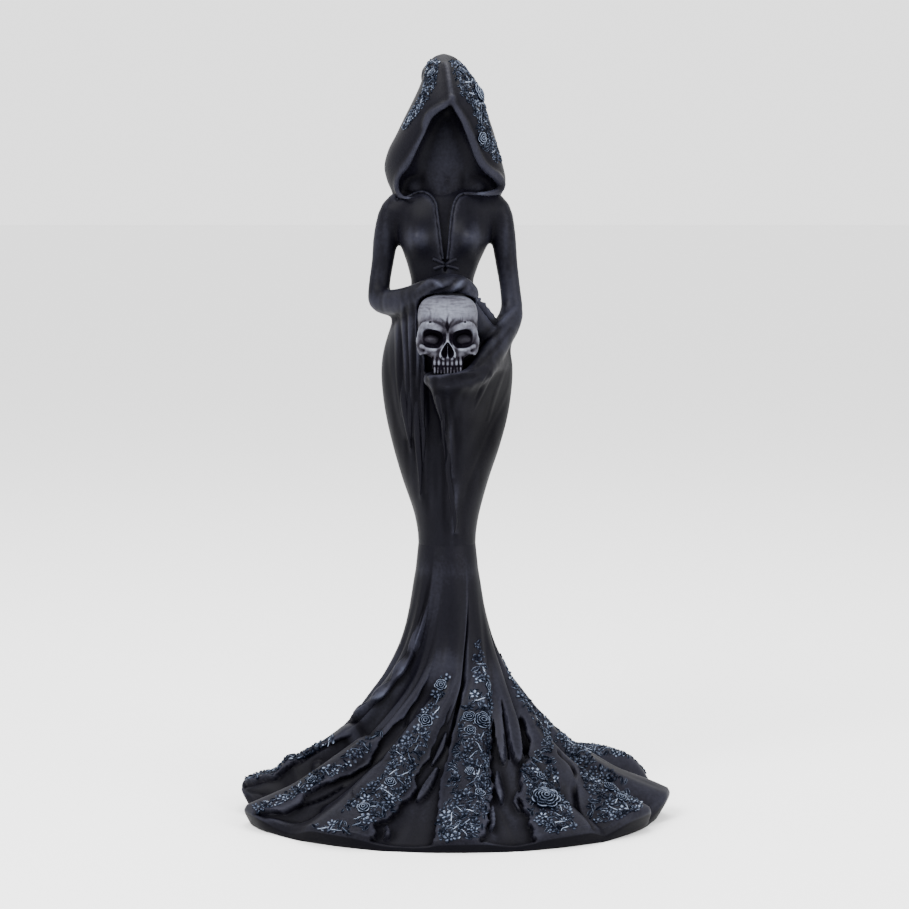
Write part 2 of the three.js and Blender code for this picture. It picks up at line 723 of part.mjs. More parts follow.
function skirtFlowers() {
  const grown = [];
  for (const band of BANDS) {
    const steps = Math.round((band.from - band.to) / BLOSSOM_GAP);
    for (let step = 0; step <= steps; step++) {
      const run = THREE.MathUtils.lerp(band.from, band.to, step / steps);
      const middleLine = THREE.MathUtils.lerp(band.hem, band.top, step / steps);
      const spread = band.spread * (1 - 0.45 * (step / steps));
      for (const side of step % 2 ? [-0.75, 0.75] : [0]) {
        const hemAngle = middleLine + side * spread;
        const size = BLOSSOM * (1 - 0.25 * (step / steps)) * (1 + 0.18 * Math.sin(7 * step + side));
        const out = outward(skirtPoint, hemAngle, run, 0.5, -0.01);
        grown.push(blossom(skirtFacet(hemAngle, run), out, size, step));
      }
    }
  }
  for (const r of ROSES) {
    grown.push(rose(skirtFacet(r.hem, r.run), outward(skirtPoint, r.hem, r.run, 0.5, -0.01), r.size, r.hem));
  }
  return grown;
}

// Flowers on the hood: how far round from the front in degrees, height and size.
const HOOD_FLOWERS = [
  { side: -1, bottom: 272, top: 296, near: 36, far: 44 },
  { side: 1, bottom: 259, top: 295, near: 50, far: 36 },
];
const HOOD_ROSES = [
  { angle: 58, z: 284.5, size: 3.6 },
  { angle: 60, z: 268.5, size: 2.6 },
];

function hoodPoint(degrees, z) {
  const turn = radians(degrees);
  const front = along(HOOD, z, "front");
  const back = along(HOOD, z, "back");
  const depth = (back - front) / 2;
  const x = along(HOOD, z, "x") + along(HOOD, z, "half") * Math.sin(turn);
  return new THREE.Vector3(x, (front + back) / 2 - depth * Math.cos(turn), z);
}

function hoodFlowers() {
  const grown = [];
  for (const band of HOOD_FLOWERS) {
    const steps = Math.round((band.top - band.bottom) / 4);
    for (let step = 0; step <= steps; step++) {
      const z = band.bottom + ((band.top - band.bottom) * step) / steps;
      const angle = band.side * THREE.MathUtils.lerp(band.near, band.far, step / steps);
      const out = outward(hoodPoint, angle, z, 1, 0.5);
      grown.push(blossom(hoodPoint(angle, z), out, 1.7, step));
    }
  }
  for (const r of HOOD_ROSES) {
    grown.push(rose(hoodPoint(r.angle, r.z), outward(hoodPoint, r.angle, r.z, 1, 0.5), r.size, 0.3));
  }
  return grown;
}

function figure() {
  const { pipings, opening } = neckline();
  const bodice = body().subtract(opening);
  const form = unite([skirt(), bodice, ...pipings, hood(), leftArm(), rightArm(), ...cloths()]);
  const flowers = unite([...skirtFlowers(), ...hoodFlowers()]);
  return form.add(flowers).subtract(skullBlank(SEAM));
}

const darkResin = new THREE.MeshStandardMaterial({ color: 0x26262e, roughness: 0.62, metalness: 0 });
const boneResin = new THREE.MeshStandardMaterial({ color: 0xb4b4bd, roughness: 0.6, metalness: 0 });

const model = new THREE.Group();
for (const [name, made, material] of [
  ["figure", figure(), darkResin],
  ["skull", skull(), boneResin],
]) {
  const mesh = new THREE.Mesh(geometryOf(made), material);
  mesh.name = name;
  model.add(mesh);
}

export default model;
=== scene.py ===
"""The looks of a cast resin figurine: a faceless hooded woman in a mermaid dress, who holds a skull at her waist.

Lengths are in millimetres, +Z up and the front towards -Y, and turn into metres where a mesh is made.
"""
import math

import bpy
import numpy as np
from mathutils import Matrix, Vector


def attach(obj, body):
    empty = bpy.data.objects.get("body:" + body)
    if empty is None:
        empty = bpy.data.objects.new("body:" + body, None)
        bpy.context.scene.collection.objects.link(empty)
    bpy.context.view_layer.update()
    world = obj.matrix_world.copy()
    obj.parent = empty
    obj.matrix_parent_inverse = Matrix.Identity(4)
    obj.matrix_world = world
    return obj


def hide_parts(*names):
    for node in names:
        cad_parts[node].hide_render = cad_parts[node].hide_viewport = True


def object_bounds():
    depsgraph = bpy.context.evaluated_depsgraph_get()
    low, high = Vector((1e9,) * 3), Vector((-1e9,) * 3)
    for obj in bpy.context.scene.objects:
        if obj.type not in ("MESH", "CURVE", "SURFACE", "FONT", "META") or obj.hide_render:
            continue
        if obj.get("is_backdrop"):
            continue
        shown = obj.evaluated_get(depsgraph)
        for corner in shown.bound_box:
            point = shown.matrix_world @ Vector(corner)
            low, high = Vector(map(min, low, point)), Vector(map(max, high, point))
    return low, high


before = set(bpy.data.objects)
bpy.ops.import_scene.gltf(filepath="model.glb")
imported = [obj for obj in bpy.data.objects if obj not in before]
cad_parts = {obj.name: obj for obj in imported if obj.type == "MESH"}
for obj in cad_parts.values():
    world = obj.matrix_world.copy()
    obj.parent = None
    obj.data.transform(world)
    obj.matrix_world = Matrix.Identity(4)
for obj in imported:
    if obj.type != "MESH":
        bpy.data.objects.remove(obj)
cad_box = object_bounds()

MM = 0.001
FAR = 99.0

# The skirt, from the hem to the knees.
KNEE_HEIGHT = 108.0
HEM_HALF_WIDTH = 81.0
HEM_FRONT = 67.0
HEM_BACK = 64.0
BASE_EDGE = 2.2
FOLD_DEPTH = 3.4
HEM_TIP = 5.6
SIDE_LIFT = 5.6
UNDERCUT = 0.95
SQUARENESS = 0.045
HEM_ROUNDING = 12
# Folds: direction at the hem in degrees from the front, half width, how far the tip runs out and how far it rises.
FOLDS = [
    (2.4, 9, 1, 1), (30, 9.5, 1, 1), (54, 9, 1, 1), (77, 8.5, 1.05, 1), (103, 9, 0.15, 1), (130, 10, 1, 1),
    (157, 9.5, 1, 1), (184, 10, 1, 1), (211, 9.5, 1, 1), (238, 9.5, 1, 1), (266, 9.5, 0.9, 1), (295, 9, 1.25, 0.55),
    (326.5, 10.5, 1, 1),
]
# Folds that bulge near the hem: direction, then share of the way out and extra height.
BULGES = [
    (103, [(0.3, 0), (0.4, -1), (0.52, -1.8), (0.6, -1.2), (0.65, 0.4), (0.7, 1.9), (0.76, 3.0), (0.83, 3.9),
           (0.875, 3.7), (0.925, 1.4), (0.97, -2.4), (1, -3.6)]),
    (264, [(0.64, 0), (0.7, 0.6), (0.74, 2.2), (0.78, 0.9), (0.82, -0.8), (0.88, 0), (1, 0)]),
]
# The skirt's side line: share of the way out, share of the height left.
FLARE = [
    (0, 1), (0.008, 0.935), (0.026, 0.86), (0.055, 0.735), (0.098, 0.606), (0.165, 0.488), (0.245, 0.393),
    (0.36, 0.284), (0.49, 0.2), (0.66, 0.125), (0.82, 0.063), (1, 0),
]
# How far the folds swing round the body on their way up: height, degrees.
SWING = [(0, 0), (20, 4.5), (30, 10.5), (44, 21), (57, 33), (70, 42), (85, 50), (108, 56)]

# Sections of the body above the knees: height, middle, half width, depth to the front and to the back.
BODY = [
    (108, -3.0, 11.4, 11.5, 12.5), (113, -3.0, 11.7, 11.8, 13), (121, -3.1, 13.2, 13, 14.5), (134, -3.5, 17.2, 15, 18.5),
    (147, -3.2, 21.2, 17, 22), (160, -3.0, 24.3, 18.2, 25), (173, -3.0, 25.8, 18.4, 26),
    (182, -3.2, 25.2, 17.6, 24), (191, -3.6, 22.4, 15.6, 19.5), (200, -4.2, 16.8, 13.2, 14.8),
    (210, -4.8, 12.3, 11.4, 11.8), (217, -4.6, 13.6, 12, 11.8), (222.5, -4.3, 15.6, 12.3, 12.2),
    (227, -4, 17.4, 12.5, 12.6), (232, -3.8, 18.6, 12.2, 13), (239, -3.4, 20.4, 11.2, 12.8),
    (244, -3.3, 17.5, 9.6, 11.5), (247, -3.3, 12.5, 7.4, 10), (251, -3.2, 9.6, 4.6, 10),
    (258, -3.1, 9.2, 0.6, 11), (265, -3.0, 8.2, -2.4, 12), (271, -3.0, 6.5, -5, 13),
]
NECK_TOP = 250.0
BREAST = dict(out=11.4, z=228.5, size=6.6, spread=6.4)
SEAT = dict(out=9, z=170, size=2.2, spread=9)

# Sections of the hood: height, middle, half width, front, back.
HOOD = [
    (240, -3.3, 17.5, -8, 13), (243.5, -3.2, 20.4, -11, 16.5), (247, -2.8, 22, -13.5, 19.5),
    (251, -3.2, 23.3, -15.5, 21.5), (256.5, -4.2, 23.3, -18, 22.8), (263, -4.3, 21.5, -20, 23),
    (269, -3.6, 19, -21.5, 22.6), (275, -3.1, 16.5, -22.2, 21.6), (281, -2.5, 14.1, -21, 20),
    (287, -2.1, 11.7, -16, 17.6), (291.5, -2.8, 9.4, -11, 15), (296, -3.9, 6.8, -5.5, 11.6),
    (299, -4.2, 3.6, -0.5, 8), (300, -4.3, 0.8, 2.6, 5),
]
# The hollow in its front: height, middle, half width, how far back it reaches.
HOLLOW = [
    (239.5, -2, 17.5, -3), (243.6, -2, 19, -2), (247, -2, 19.8, 2), (251.5, -3, 18.6, 5),
    (256, -3.2, 14.4, 5), (261, -3.4, 11.8, 4.6), (267, -3.5, 9.4, 3.4), (272.5, -3.4, 7.2, 0.6),
    (277, -2.8, 4.4, -4.5), (281, -1.8, 0.9, -12),
]


def smoothstep(value, low, high):
    t = np.clip((value - low) / (high - low), 0, 1)
    return t * t * (3 - 2 * t)


def along(table, place, column=1):
    """A column of a table of stations at places between them, on a smooth curve through all of them."""
    x = np.array([row[0] for row in table], float)
    y = np.array([row[column] for row in table], float)
    slope = np.empty_like(y)
    slope[1:-1] = (y[2:] - y[:-2]) / (x[2:] - x[:-2])
    slope[0] = (y[1] - y[0]) / (x[1] - x[0])
    slope[-1] = (y[-1] - y[-2]) / (x[-1] - x[-2])
    place = np.asarray(place, float)
    i = np.clip(np.searchsorted(x, place, side="left") - 1, 0, len(x) - 2)
    span = x[i + 1] - x[i]
    s = np.clip((place - x[i]) / span, 0, 1)
    bend = s * s * (3 - 2 * s)
    lead = s * (1 - s) ** 2 * slope[i] * span
    tail = s * s * (1 - s) * slope[i + 1] * span
    return y[i] * (1 - bend) + y[i + 1] * bend + lead - tail


def noise(points, size, seed=0):
    """Smooth noise from -1 to 1 at points of an (n, 3) array, with bumps about as wide as size."""
    p = np.asarray(points, float) / size + seed * 17.31
    cell = np.floor(p).astype(np.int64)
    t = p - cell
    t = t * t * (3 - 2 * t)
    total = np.zeros(len(p))
    for corner in range(8):
        step = np.array([corner & 1, corner >> 1 & 1, corner >> 2 & 1])
        key = (cell + step) @ np.array([73856093, 19349663, 83492791])
        key = (key ^ (key >> 13)) * 1274126177 & 0x7FFFFFFF
        value = (key ^ (key >> 16)) % 65536 / 32767.5 - 1
        total += value * np.prod(np.where(step, t, 1 - t), axis=1)
    return total


# Solid forms on a grid of signed distances, joined softly and then turned into a mesh.


def soft_min(a, b, soft):
    if soft <= 0:
        return np.minimum(a, b)
    h = np.maximum(soft - np.abs(a - b), 0) / soft
    return np.minimum(a, b) - h * h * soft / 4


class Clay:
    def __init__(self, low, high, step):
        self.low = np.array(low, float)
        self.step = step
        self.count = np.ceil((np.array(high, float) - self.low) / step).astype(int) + 1
        self.depth = np.full(self.count, FAR, np.float32)

    def window(self, low, high, margin):
        first = np.floor((np.array(low) - margin - self.low) / self.step).astype(int)
        last = np.ceil((np.array(high) + margin - self.low) / self.step).astype(int) + 1
        first = np.clip(first, 0, self.count - 1)
        last = np.clip(last, 1, self.count)
        part = tuple(slice(a, b) for a, b in zip(first, last))
        axes = [self.low[k] + self.step * np.arange(first[k], last[k]) for k in range(3)]
        return part, np.meshgrid(*axes, indexing="ij", sparse=True)

    def add(self, form, soft=0.0):
        shape, low, high = form
        part, axes = self.window(low, high, soft + 1)
        self.depth[part] = soft_min(self.depth[part], shape(*axes), soft)

    def cut(self, form, soft=0.0):
        shape, low, high = form
        part, axes = self.window(low, high, soft + 1)
        self.depth[part] = -soft_min(-self.depth[part], shape(*axes), soft)

    def at(self, points):
        """The signed distance at points, between the grid's values."""
        place = (points - self.low) / self.step
        cell = np.clip(np.floor(place).astype(int), 0, self.count - 2)
        t = np.clip(place - cell, 0, 1)
        total = np.zeros(len(points))
        for corner in range(8):
            step = np.array([corner & 1, corner >> 1 & 1, corner >> 2 & 1])
            total += self.depth[tuple((cell + step).T)] * np.prod(np.where(step, t, 1 - t), axis=1)
        return total

    def front(self, columns, heights):
        """Where the surface lies, seen from the front, at sideways places and heights."""
        x, z = np.meshgrid(columns, heights)
        y = np.full(x.shape, self.low[1] + 1)
        for _ in range(90):
            depth = self.at(np.stack([x.ravel(), y.ravel(), z.ravel()], 1)).reshape(x.shape)
            y = np.minimum(y + np.clip(depth * 0.7, 0, 1.5), 12)
        return np.stack([x, y, z], -1)

    def net(self):
        """The surface as points and four-sided faces that point outwards."""
        d = self.depth
        inside = d < 0
        size = np.array(d.shape) - 1
        total = np.zeros(size, np.int8)
        for i in (0, 1):
            for j in (0, 1):
                for k in (0, 1):
                    total += inside[i:size[0] + i, j:size[1] + j, k:size[2] + k]
        cells = np.argwhere((total > 0) & (total < 8))
        index = np.full(size, -1, np.int64)
        index[tuple(cells.T)] = np.arange(len(cells))
        sums = np.zeros((len(cells), 3))
        hits = np.zeros(len(cells))
        for axis in range(3):
            others = [k for k in range(3) if k != axis]
            for a, b in ((0, 0), (0, 1), (1, 0), (1, 1)):
                start = np.zeros(3, int)
                start[others[0]] = a
                start[others[1]] = b
                end = start.copy()
                end[axis] = 1
                from_depth = d[tuple((cells + start).T)]
                to_depth = d[tuple((cells + end).T)]
                crosses = (from_depth < 0) != (to_depth < 0)
                gap = np.where(crosses, from_depth - to_depth, 1)
                point = start + np.outer(from_depth / gap, end - start)
                sums += np.where(crosses[:, None], point, 0)
                hits += crosses
        points = self.low + self.step * (cells + sums / hits[:, None])
        faces = []
        for axis in range(3):
            u, v = (axis + 1) % 3, (axis + 2) % 3
            low_side = [slice(1, -1)] * 3
            low_side[axis] = slice(0, -1)
            high_side = [slice(1, -1)] * 3
            high_side[axis] = slice(1, None)
            here = inside[tuple(low_side)]
            edges = np.argwhere(here != inside[tuple(high_side)])
            outward = here[tuple(edges.T)]
            shift = np.ones(3, int)
            shift[axis] = 0
            edges = edges + shift
            du, dv = np.eye(3, dtype=int)[u], np.eye(3, dtype=int)[v]
            ring = [edges - du - dv, edges - dv, edges, edges - du]
            quad = np.stack([index[tuple(c.T)] for c in ring], 1)
            quad[~outward] = quad[~outward][:, ::-1]
            faces.append(quad)
        return points, np.concatenate(faces)


def neighbours(faces, count):
    a = faces.ravel()
    b = np.roll(faces, -1, axis=1).ravel()
    return np.concatenate([a, b]), np.concatenate([b, a]), count


def averaged(links, values):
    a, b, count = links
    weight = np.bincount(a, minlength=count)
    columns = values.reshape(count, -1)
    out = [np.bincount(a, columns[b, k], minlength=count) / np.maximum(weight, 1) for k in range(columns.shape[1])]
    return np.stack(out, 1).reshape(values.shape)


def smoothed(points, faces, times, share=0.5):
    links = neighbours(faces, len(points))
    for _ in range(times):
        points = points + share * (averaged(links, points) - points)
    return points


def normals_of(points, faces):
    corner = points[faces]
    way = np.cross(corner[:, 2] - corner[:, 0], corner[:, -1] - corner[:, 1])
    total = np.zeros_like(points)
    for k in range(faces.shape[1]):
        for axis in range(3):
            total[:, axis] += np.bincount(faces[:, k], way[:, axis], minlength=len(points))
    return total / np.maximum(np.linalg.norm(total, axis=1, keepdims=True), 1e-12)


def crest_of(points, faces, spread):
    """How much each point stands out from the surface round it, in millimetres: ridges over 0, grooves under 0."""
    links = neighbours(faces, len(points))
    around = points
    for _ in range(spread):
        around = averaged(links, around)
    crest = ((points - around) * normals_of(points, faces)).sum(1)
    for _ in range(2):
        crest = averaged(links, crest)
    return crest


def ring_form(table, low, high):
    """A form given by level sections: height, middle, half width, front, back."""

    def shape(x, y, z):
        middle = along(table, z, 1)
        half = along(table, z, 2)
        front = along(table, z, 3)
        back = along(table, z, 4)
        u = (x - middle) / half
        v = (y - (front + back) / 2) / ((back - front) / 2)
        q = np.sqrt(u * u + v * v + 1e-6)
        r = np.sqrt((x - middle) ** 2 + (y - (front + back) / 2) ** 2 + 1e-6)
        side = r - r / q
        top = np.maximum(z - table[-1][0], table[0][0] - z)
        return np.maximum(side, top)

    return shape, low, high


def curve_through(stations, steps):
    """Stations of any width, with a smooth curve of steps pieces between each two of them."""
    s = np.array(stations, float)
    last = len(s) - 1
    out = []
    for i in range(last):
        p0, p1, p2, p3 = s[max(i - 1, 0)], s[i], s[i + 1], s[min(i + 2, last)]
        for t in np.arange(steps) / steps:
            out.append(0.5 * (2 * p1 + (p2 - p0) * t + (2 * p0 - 5 * p1 + 4 * p2 - p3) * t * t
                              + (3 * p1 - p0 - 3 * p2 + p3) * t ** 3))
    out.append(s[-1])
    return np.array(out)


def tube_form(stations, wide=(0, 0, 1), steps=3):
    """A rounded limb through stations of x, y, z, half width and half thickness."""
    path = curve_through(stations, steps)
    points = path[:, :3]
    sizes = np.maximum(path[:, 3:5], 0.15)
    reach = sizes.max()

    def shape(x, y, z):
        best = None
        for i in range(len(points) - 1):
            a = points[i]
            ahead = points[i + 1] - a
            length = np.linalg.norm(ahead)
            if length < 1e-6:
                continue
            ahead = ahead / length
            across = np.array(wide, float) - np.dot(wide, ahead) * ahead
            across = across / np.linalg.norm(across)
            up = np.cross(ahead, across)
            px, py, pz = x - a[0], y - a[1], z - a[2]
            run = px * ahead[0] + py * ahead[1] + pz * ahead[2]
            t = np.clip(run / length, 0, 1)
            u = px * across[0] + py * across[1] + pz * across[2]
            v = px * up[0] + py * up[1] + pz * up[2]
            w = run - t * length
            half = sizes[i, 0] + (sizes[i + 1, 0] - sizes[i, 0]) * t
            thick = sizes[i, 1] + (sizes[i + 1, 1] - sizes[i, 1]) * t
            least = np.minimum(half, thick)
            q = np.sqrt((u / half) ** 2 + (v / thick) ** 2 + (w / least) ** 2 + 1e-6)
            r = np.sqrt(u * u + v * v + w * w + 1e-6)
            d = r - r / q
            best = d if best is None else soft_min(best, d, 0.2)
        return best

    return shape, points.min(0) - reach, points.max(0) + reach


def block_form(centre, radii, power=2.0, turn=0.0):
    """A rounded block, an ellipsoid at power 2, turned about the front-to-back axis by degrees."""
    cos, sin = math.cos(math.radians(turn)), math.sin(math.radians(turn))

    def shape(x, y, z):
        px, py, pz = x - centre[0], y - centre[1], z - centre[2]
        a = np.abs(px * cos + pz * sin) / radii[0]
        b = np.abs(py) / radii[1]
        c = np.abs(pz * cos - px * sin) / radii[2]
        q = (a ** power + b ** power + c ** power + 1e-6) ** (1 / power)
        r = np.sqrt(px * px + py * py + pz * pz + 1e-6)
        return r - r / q

    reach = max(radii) * 1.3
    return shape, np.array(centre) - reach, np.array(centre) + reach


# Materials: dark satin resin, dry-brushed on whatever stands out, and a pale resin with a dark wash; through the crest
# both also carry painted light and shade.


def new_material(name, roughness):
    material = bpy.data.materials.new(name)
    material.use_nodes = True
    tree = material.node_tree
    shader = tree.nodes["Principled BSDF"]
    shader.inputs["Roughness"].default_value = roughness
    return material, tree, shader


def node(tree, kind, **values):
    made = tree.nodes.new(kind)
    for key, value in values.items():
        if hasattr(made, key):
            setattr(made, key, value)
        else:
            made.inputs[key.replace("_", " ")].default_value = value
    return made


def noise_node(tree, scale, detail=3.0, stretch=None):
    place = tree.nodes.new("ShaderNodeTexCoord")
    made = node(tree, "ShaderNodeTexNoise", Scale=scale, Detail=detail)
    source = place.outputs["Object"]
    if stretch:
        mapping = node(tree, "ShaderNodeMapping")
        mapping.inputs["Scale"].default_value = stretch
        tree.links.new(source, mapping.inputs["Vector"])
        source = mapping.outputs["Vector"]
    tree.links.new(source, made.inputs["Vector"])
    return made.outputs["Fac"]


def maths(tree, operation, a, b, clamp=False):
    made = tree.nodes.new("ShaderNodeMath")
    made.operation = operation
    made.use_clamp = clamp
    for socket, value in zip(made.inputs, (a, b)):
        if isinstance(value, (int, float)):
            socket.default_value = value
        else:
            tree.links.new(value, socket)
    return made.outputs[0]


def ramp(tree, source, stops):
    made = tree.nodes.new("ShaderNodeValToRGB")
    elements = made.color_ramp.elements
    while len(elements) < len(stops):
        elements.new(0.5)
    for element, (place, colour) in zip(elements, stops):
        element.position = place
        element.color = (*colour, 1)
    tree.links.new(source, made.inputs["Fac"])
    return made.outputs["Color"]


def painted(name, stops, roughness, rough_swing, grain, patch, gloss, bump=0.00006, sheen_scale=900.0):
    """Resin coloured by how far a place stands out: crest is -1 in a groove, 0 on the flat and 1 on a ridge. This
    gives dry-brushed paint on ridges and a dark wash in grooves, together with painted shade in the grooves and
    whatever painted light and shade is added to the crest.
    """
    material, tree, shader = new_material(name, roughness)
    crest = node(tree, "ShaderNodeAttribute", attribute_name="crest").outputs["Fac"]
    fine = noise_node(tree, sheen_scale, 4.0)
    broad = noise_node(tree, 60.0, 3.0)
    wobble = maths(tree, "ADD", maths(tree, "MULTIPLY", maths(tree, "SUBTRACT", fine, 0.5), grain),
                   maths(tree, "MULTIPLY", maths(tree, "SUBTRACT", broad, 0.5), patch))
    level = maths(tree, "ADD", maths(tree, "MULTIPLY", crest, 0.5), 0.5)
    level = maths(tree, "ADD", level, wobble, clamp=True)
    tree.links.new(ramp(tree, level, stops), shader.inputs["Base Color"])
    tree.links.new(maths(tree, "MULTIPLY", level, gloss), shader.inputs["Specular IOR Level"])
    rough = maths(tree, "ADD", maths(tree, "MULTIPLY", maths(tree, "SUBTRACT", fine, 0.5), rough_swing), roughness)
    tree.links.new(rough, shader.inputs["Roughness"])
    raised = node(tree, "ShaderNodeBump", Strength=0.5, Distance=bump)
    tree.links.new(noise_node(tree, 1500.0, 4.0), raised.inputs["Height"])
    tree.links.new(raised.outputs["Normal"], shader.inputs["Normal"])
    return material


DARK = painted(
    "dark resin",
    [(0.0, (0.0004, 0.0004, 0.0007)), (0.38, (0.0014, 0.0013, 0.0025)), (0.56, (0.0028, 0.0027, 0.0047)),
     (0.78, (0.0132, 0.0136, 0.0212)), (1.0, (0.040, 0.045, 0.067))],
    0.48, 0.14, 0.14, 0.14, gloss=0.085,
)
FLOWERED = painted(
    "painted flowers",
    [(0.0, (0.0006, 0.0010, 0.0026)), (0.40, (0.0026, 0.0036, 0.0076)), (0.60, (0.0092, 0.0122, 0.0218)),
     (0.80, (0.048, 0.061, 0.091)), (1.0, (0.195, 0.228, 0.295))],
    0.5, 0.10, 0.34, 0.36, gloss=0.12,
)
BONE = painted(
    "bone resin",
    [(0.0, (0.0025, 0.002, 0.0035)), (0.28, (0.011, 0.010, 0.014)), (0.46, (0.042, 0.042, 0.054)),
     (0.62, (0.084, 0.090, 0.114)), (1.0, (0.24, 0.255, 0.31))],
    0.55, 0.10, 0.20, 0.20, gloss=0.2,
)


def make_piece(name, points, faces, material, slot, crest=None, crest_scale=1.0, spread=10, sharp=None):
    """A mesh piece from points in millimetres, with its crest as an attribute for the material."""
    if crest is None:
        crest = crest_of(points, faces, spread)
    mesh = bpy.data.meshes.new(name)
    mesh.from_pydata((points * MM).tolist(), [], faces if isinstance(faces, list) else faces.tolist())
    mesh.validate()
    mesh.attributes.new("crest", "FLOAT", "POINT").data.foreach_set(
        "value", np.clip(crest / crest_scale, -1, 1).astype(np.float32))
    mesh.materials.append(material)
    mesh.polygons.foreach_set("use_smooth", [True] * len(mesh.polygons))
    if sharp is not None:
        mesh.set_sharp_from_angle(angle=math.radians(sharp))
    mesh.update()
    piece = bpy.data.objects.new(name, mesh)
    bpy.context.collection.objects.link(piece)
    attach(piece, "root")
    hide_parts("skull" if slot == "bone_resin" else "figure")
    return piece


def grid_faces(rows, columns, wrap=True):
    """Four-sided faces of a grid of points, row after row."""
    r, c = np.meshgrid(np.arange(rows - 1), np.arange(columns if wrap else columns - 1), indexing="ij")
    here = r * columns + c
    beside = r * columns + (c + 1) % columns
    return np.stack([here, beside, beside + columns, here + columns], -1).reshape(-1, 4)


def fan_faces(first, count, centre, flip):
    k = np.arange(count)
    a, b = first + k, first + (k + 1) % count
    ring = [a, b] if not flip else [b, a]
    return np.stack([ring[0], ring[1], np.full(count, centre), np.full(count, centre)], 1)


# The skirt.


def fold_at(hem):
    amount, tip, rise = np.zeros_like(hem), np.zeros_like(hem), np.zeros_like(hem)
    for at, half, tip_share, rise_share in FOLDS:
        away = (hem - at + 180) % 360 - 180
        here = 1 / (1 + np.abs(away / half) ** 5)
        amount = np.maximum(amount, here)
        tip = np.maximum(tip, here * tip_share)
        rise = np.maximum(rise, here * rise_share)
    return amount, tip, rise


def bulge_at(hem, run):
    total = np.zeros_like(hem + run)
    for at, table in BULGES:
        away = (hem - at + 180) % 360 - 180
        total = total + along(table, run) * np.exp(-(away / 13) ** 4)
    return total


def skirt_point(hem, run):
    """Points of the skirt: the direction where their fold meets the hem, and how far out they lie, 1 at the hem."""
    rise = along(FLARE, run)
    fold, fold_tip, fold_rise = fold_at(hem)
    side = np.sin(np.radians(hem)) ** 2
    edge = BASE_EDGE + fold * 1.2 + fold_rise * SIDE_LIFT * side
    z = edge + (KNEE_HEIGHT - edge) * rise
    turned = np.radians(hem + along(SWING, z))
    tip = HEM_TIP * fold_tip * side * smoothstep(run, 0.75, 1)
    ahead = np.cos(turned) > 0
    depth = np.where(ahead, HEM_FRONT, HEM_BACK)
    knee_depth = np.where(ahead, BODY[0][3], BODY[0][4])
    here = smoothstep(run, 0.03, 0.36) * (1 - 0.55 * smoothstep(run, 0.8, 1))
    out = FOLD_DEPTH * (fold - 0.55) * here
    half = BODY[0][2] + (HEM_HALF_WIDTH - BODY[0][2]) * run + out + tip
    reach = knee_depth + (depth - knee_depth) * run + out
    axis = BODY[0][1] * (1 - smoothstep(run, 0.45, 1))
    square = 1 + SQUARENESS * np.sin(2 * turned) ** 2 * ahead * smoothstep(run, 0.6, 1)
    x, y = axis + half * square * np.sin(turned), -reach * square * np.cos(turned)
    return np.stack([x, y, z + out * 0.5 + bulge_at(hem, run)], -1)


def swell(form, off, z):
    away = np.abs(off) - form["out"]
    return form["size"] * np.exp(-(away ** 2 + (z - form["z"]) ** 2) / form["spread"] ** 2)


class Surface:
    """A surface as a grid of points, rows going down and columns round to the left of the figure."""

    def __init__(self, rows, columns, points):
        self.rows = rows
        self.columns = columns
        self.points = points
        way = np.cross(np.gradient(points, axis=0), np.gradient(points, axis=1))
        self.out = way / np.maximum(np.linalg.norm(way, axis=2, keepdims=True), 1e-9)

    def at(self, row, column):
        i = np.clip(np.searchsorted(self.rows, row) - 1, 0, len(self.rows) - 2)
        j = np.clip(np.searchsorted(self.columns, column) - 1, 0, len(self.columns) - 2)
        s = np.clip((row - self.rows[i]) / (self.rows[i + 1] - self.rows[i]), 0, 1)[..., None]
        t = np.clip((column - self.columns[j]) / (self.columns[j + 1] - self.columns[j]), 0, 1)[..., None]
        mixed = []
        for grid in (self.points, self.out):
            near = grid[i, j] * (1 - t) + grid[i, j + 1] * t
            far = grid[i + 1, j] * (1 - t) + grid[i + 1, j + 1] * t
            mixed.append(near * (1 - s) + far * s)
        return mixed

    def axes(self, row, column):
        """The place, the way out, and the moves for one step of row and of column."""
        step_row = (self.rows[-1] - self.rows[0]) * 0.004
        step_column = (self.columns[-1] - self.columns[0]) * 0.002
        row, column = np.array(float(row)), np.array(float(column))
        place, out = self.at(row, column)
        by_row = (self.at(row + step_row, column)[0] - self.at(row - step_row, column)[0]) / step_row / 2
        by_column = (self.at(row, column + step_column)[0] - self.at(row, column - step_column)[0]) / step_column / 2
        return place, out / np.linalg.norm(out), by_row, by_column

    def lay(self, carving, row, column, turn=0.0, lift=0.0):
        """The points of a flat carving, moved onto the surface and bent along it."""
        _, out, by_row, by_column = self.axes(row, column)
        ahead = by_row - np.dot(by_row, out) * out
        ahead /= np.linalg.norm(ahead)
        across = np.cross(ahead, out)
        cos, sin = math.cos(turn), math.sin(turn)
        u = carving[:, 0] * cos - carving[:, 1] * sin
        v = carving[:, 0] * sin + carving[:, 1] * cos
        move = np.outer(u, across) + np.outer(v, ahead)
        steps = move @ np.linalg.pinv(np.stack([by_row, by_column], 1)).T
        place, outs = self.at(row + steps[:, 0], column + steps[:, 1])
        return place + outs * (carving[:, 2] + lift)[:, None]


